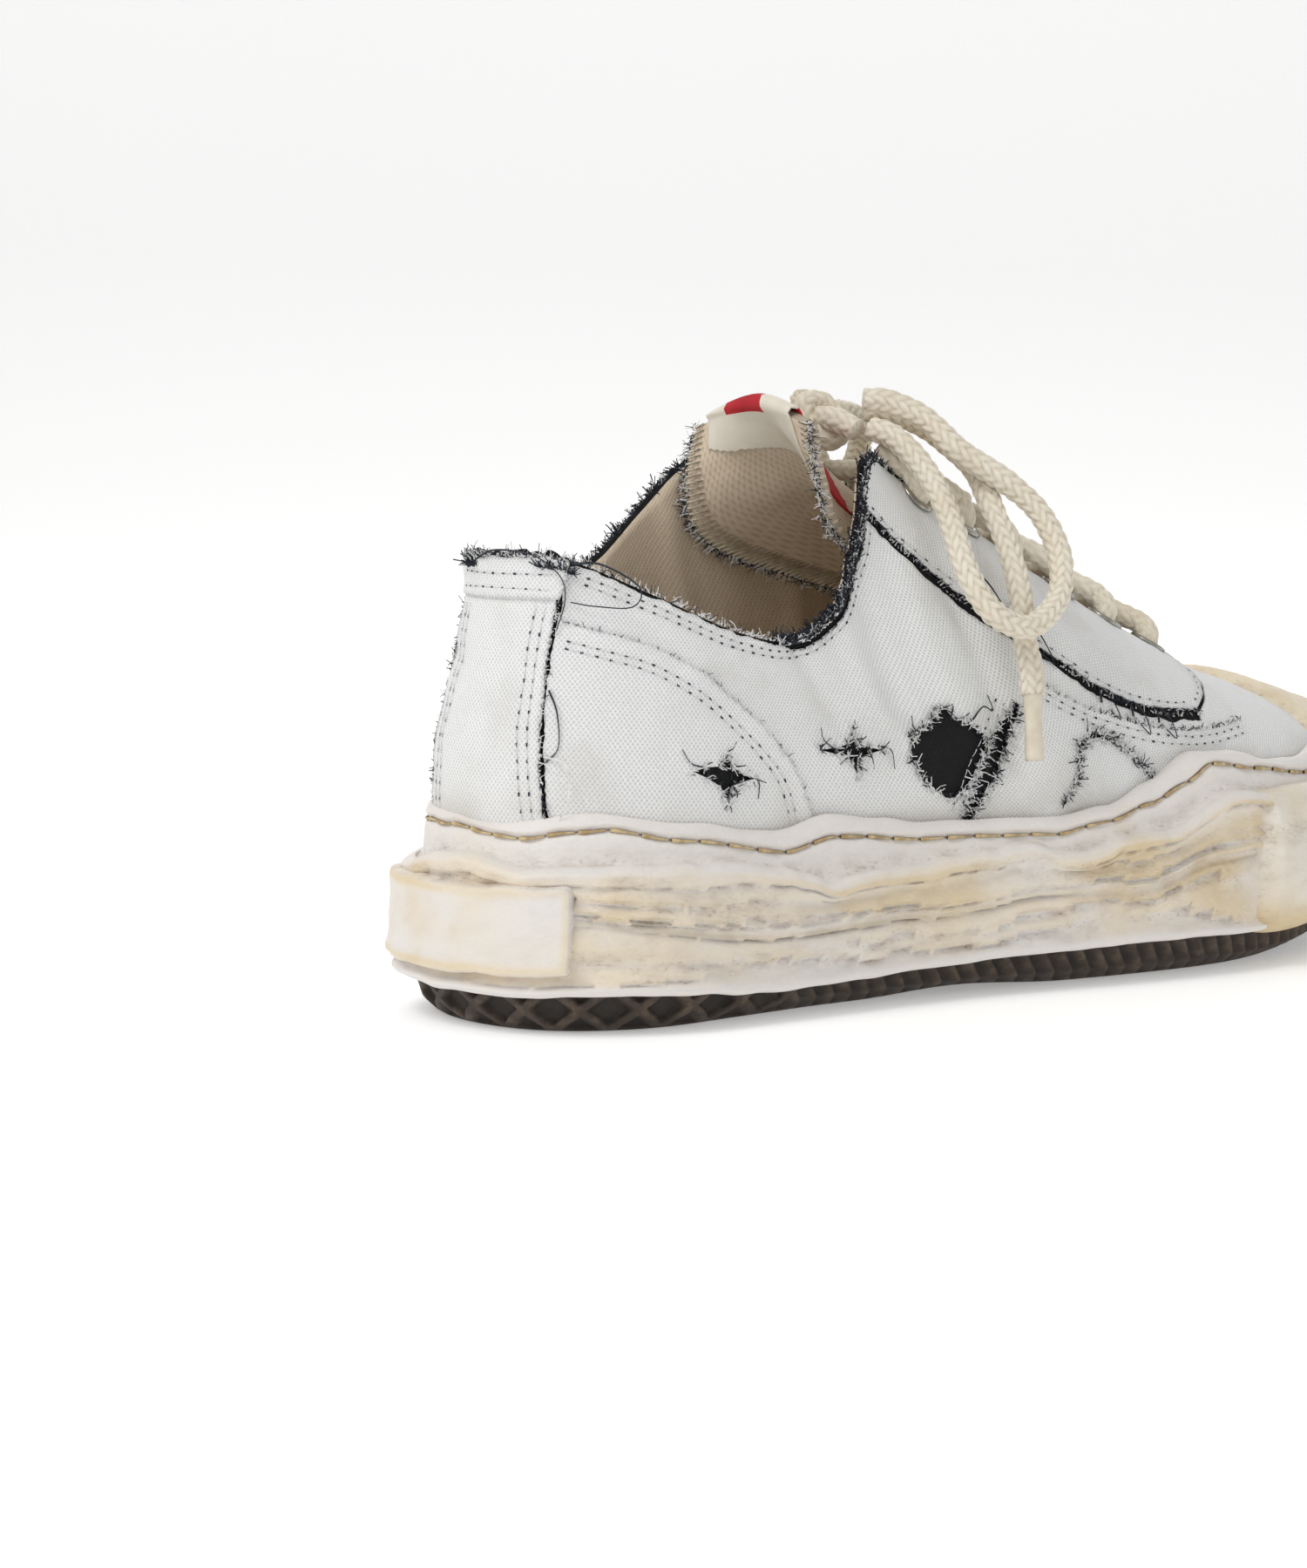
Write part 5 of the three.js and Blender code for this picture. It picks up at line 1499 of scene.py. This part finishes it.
def rope_piece(name, ropes, nodes):
    """Ropes as one mesh, each closed at both ends."""
    points, faces, gaps, start = [], [], [], 0
    for ring, gap, _ in ropes:
        ring = closed_ends(ring)
        rows, corners = ring.shape[:2]
        points.append(ring.reshape(-1, 3))
        gaps.append(np.concatenate([gap[:1], gap, gap[-1:]]).ravel())
        faces.append(grid_faces(rows, corners, closed=True) + start)
        start += rows * corners
    return make_piece(name, np.vstack(points), np.vstack(faces), ROPE,
                      values={"gap": np.concatenate(gaps)}, nodes=nodes)


def over_edge(t, height=5.0):
    return wall(t, 1.0) + wall_normal(t, 0.96) * height


def over_eyelet(place, height, towards=0.0):
    t, v = np.array(place[0]), np.array(place[1] + towards)
    return wall(t, v) + wall_normal(t, v) * height


def strand(start, end):
    """From an eyelet on one side, over the throat, down through an eyelet on the other side."""
    near, half, other_half, far = [
        over_edge(np.sign(place[0]) * mix(abs(start[0]), abs(end[0]), share))
        for place, share in ((start, 0.25), (start, 0.5), (end, 0.5), (end, 0.75))
    ]
    steps = ((-5, 0.0), (2.2, 0.01), (4.9, 0.07))
    up = [over_eyelet(start, *step) for step in steps]
    down = [over_eyelet(end, *step) for step in reversed(steps)]
    return [*up, near, (half + other_half) / 2 + [0, 0, 1.2], far, *down]


TO_KNOT = [(-24, -17.5, 129), (-30, -11, 134)]
LOOP = [
    (-34, -10.5, 146.5), (-29, -14, 146), (-22, -20, 142), (-16, -26, 134), (-6, -33, 126),
    (1, -38, 118), (3, -43, 107), (-2, -47, 97), (-14, -49, 91), (-24, -47, 95), (-28, -42, 105),
    (-27, -34, 119), (-27, -26, 129), (-30, -18, 137), (-33, -12, 139.5),
]
LOOSE_END = [
    (-27, -4, 144), (-15, -9, 141), (-7, -20, 131), (-8, -29, 121), (-8, -36, 109), (-8, -40, 99),
    (-9, -42.5, 89), (-10, -46, 81), (-11, -48, 74),
]
TIP_END = (-12, -50, 58)
KNOT_BAR = [(-36, -10.5, 139), (-38, -5, 141.5), (-38.5, 1.5, 142), (-38, 8, 141.5), (-36, 13.5, 139)]


def other_side(points, medial):
    """A route for the medial side mirrors the lateral one."""
    return np.array([(x, 3 - y, z) if medial else (x, y, z) for x, y, z in points], float)


def lace_tip(word, start, finish):
    """The stiffened tip from the cord's end to its own end, slightly flattened."""
    along = unit(finish - start)
    share = np.linspace(0, 1, 14)[:, None]
    line = mix(start - 1.5 * along, finish, share)
    turn = np.linspace(0, 2 * math.pi, 24, endpoint=False)[None, :, None]
    wide = unit(np.cross(along, [0, 1.0, 0]))
    thick = np.cross(along, wide)
    size = (TIP / 2 * (1 + 0.05 * np.sin(share * 9)))[:, :, None]
    ring = closed_ends(line[:, None] + size * (1.12 * wide * np.cos(turn) + 0.8 * thick * np.sin(turn)))
    return make_piece("tip_" + word, ring, grid_faces(*ring.shape[:2], closed=True), TIP_SKIN,
                      nodes=["lace_tip_" + word])


def laces():
    lateral, medial = eyelet_places(1), eyelet_places(-1)
    routes = [strand(lateral[0], medial[0])]
    for row in range(5):
        routes.append(strand(lateral[row], medial[row + 1]))
        routes.append(strand(medial[row], lateral[row + 1]))
    for place, is_medial in ((lateral[5], False), (medial[5], True)):
        routes.append([over_eyelet(place, -5), over_eyelet(place, 2.0), over_eyelet(place, 5.5, 0.04),
                       *other_side(TO_KNOT, is_medial)])
    crossings = [rope(route, LACE - 0.2, 0.72, 30) for route in routes]
    rope_piece("laces_through_eyelets", crossings, ["lace_crossings"])
    # The knot: one turn of cord around the crossing, drawn tight
    turns = 1.12
    turn = np.linspace(0, 2 * math.pi * turns, 24)
    wrap = [4.6 * np.cos(turn), 3.0 * np.sin(turn / turns), 4.6 * np.sin(turn)]
    wrap = np.stack(wrap, -1) + [-37.5, 1.5, 141.5]
    rope_piece("knot", [rope(line, LACE, 0.55, 36) for line in (wrap, KNOT_BAR)], ["lace_knot"])
    for word, is_medial in (("lateral", False), ("medial", True)):
        step, corners = (0.8, 32) if is_medial else (0.45, 48)
        loop = rope(other_side(LOOP, is_medial), LACE, step, corners)
        piece = rope_piece("loop_" + word, [loop], ["lace_loop_" + word])
        end = rope(other_side(LOOSE_END, is_medial), LACE, step, corners, flat_end=24)
        piece = rope_piece("end_" + word, [end], ["lace_end_" + word])
        tip = lace_tip(word, end[2][-1], other_side([TIP_END], is_medial)[0])


laces()

# ---------------------------------------------------------------------------------- stage

def aim(name, data, place, direction):
    """A lamp or a camera at a place, looking in a direction."""
    thing = bpy.data.objects.new(name, data)
    thing.location = place
    thing.rotation_mode = "QUATERNION"
    thing.rotation_quaternion = direction.to_track_quat("-Z", "Y")
    bpy.context.scene.collection.objects.link(thing)
    return thing


def stage_and_lights():
    """A pale sweep that runs back behind the shoe and curves up, soft room light and three lamps."""
    reach, back, width = 3.0, 2.2, 12.0
    turn = np.linspace(0, math.pi / 2, 40)[1:]
    away = np.concatenate([[-reach, back], back + np.sin(turn), [back + 1]])
    height = np.concatenate([[0, 0], 1 - np.cos(turn), [3.5]]) - 0.0002
    heading = np.array([math.cos(CAMERA_YAW), math.sin(CAMERA_YAW)])
    sideways = np.array([-heading[1], heading[0]])
    plan = heading * away[:, None, None] + sideways * np.array([-width / 2, width / 2])[None, :, None]
    points = np.concatenate([plan, np.broadcast_to(height[:, None, None], (len(away), 2, 1))], -1)
    backdrop, mesh = add_object("backdrop", points.reshape(-1, 3), grid_faces(len(away), 2).tolist())
    material, _, shader = new_material("backdrop", 0.9)
    shader.inputs["Base Color"].default_value = (0.86, 0.86, 0.855, 1)
    shader.inputs["Emission Color"].default_value = (1, 1, 1, 1)
    shader.inputs["Emission Strength"].default_value = FLOOR_GLOW
    mesh.materials.append(material)
    world = bpy.data.worlds.new("studio")
    bpy.context.scene.world = world
    world.use_nodes = True
    world.node_tree.nodes["Background"].inputs[0].default_value = (1, 1, 1, 1)
    world.node_tree.nodes["Background"].inputs[1].default_value = ROOM_LIGHT
    for name, place, target, size, power in LIGHTS:
        light = bpy.data.lights.new(name, "AREA")
        light.shape = "RECTANGLE"
        light.size, light.size_y = size
        light.energy = power
        aim(name, light, place, Vector(target) - Vector(place))


CAMERA_PLACE = (-0.613297, -0.663834, 0.140419)
CAMERA_YAW = 0.905145
CAMERA_PITCH = -0.102806
FLOOR_GLOW = 0.29
ROOM_LIGHT = 0.56
# Name, place, what it looks at, width and height in metres, watts
LIGHTS = [
    ("key", (-1.3, -0.1, 1.5), (0, 0, 0.05), (0.9, 0.9), 15.0),
    ("fill", (-0.2, -1.9, 0.8), (0, 0, 0.06), (1.6, 1.2), 2.4),
    ("back", (1.2, 1.4, 1.6), (0, 0, 0.05), (1.6, 1.2), 10.0),
]
stage_and_lights()

camera = bpy.data.cameras.new("camera")
camera.lens = 80
camera.sensor_width = 36
camera.clip_end = 20
level_part = math.cos(CAMERA_PITCH)
view = (level_part * math.cos(CAMERA_YAW), level_part * math.sin(CAMERA_YAW), math.sin(CAMERA_PITCH))
bpy.context.scene.camera = aim("camera", camera, CAMERA_PLACE, Vector(view))
bpy.context.scene.view_settings.view_transform = "Standard"
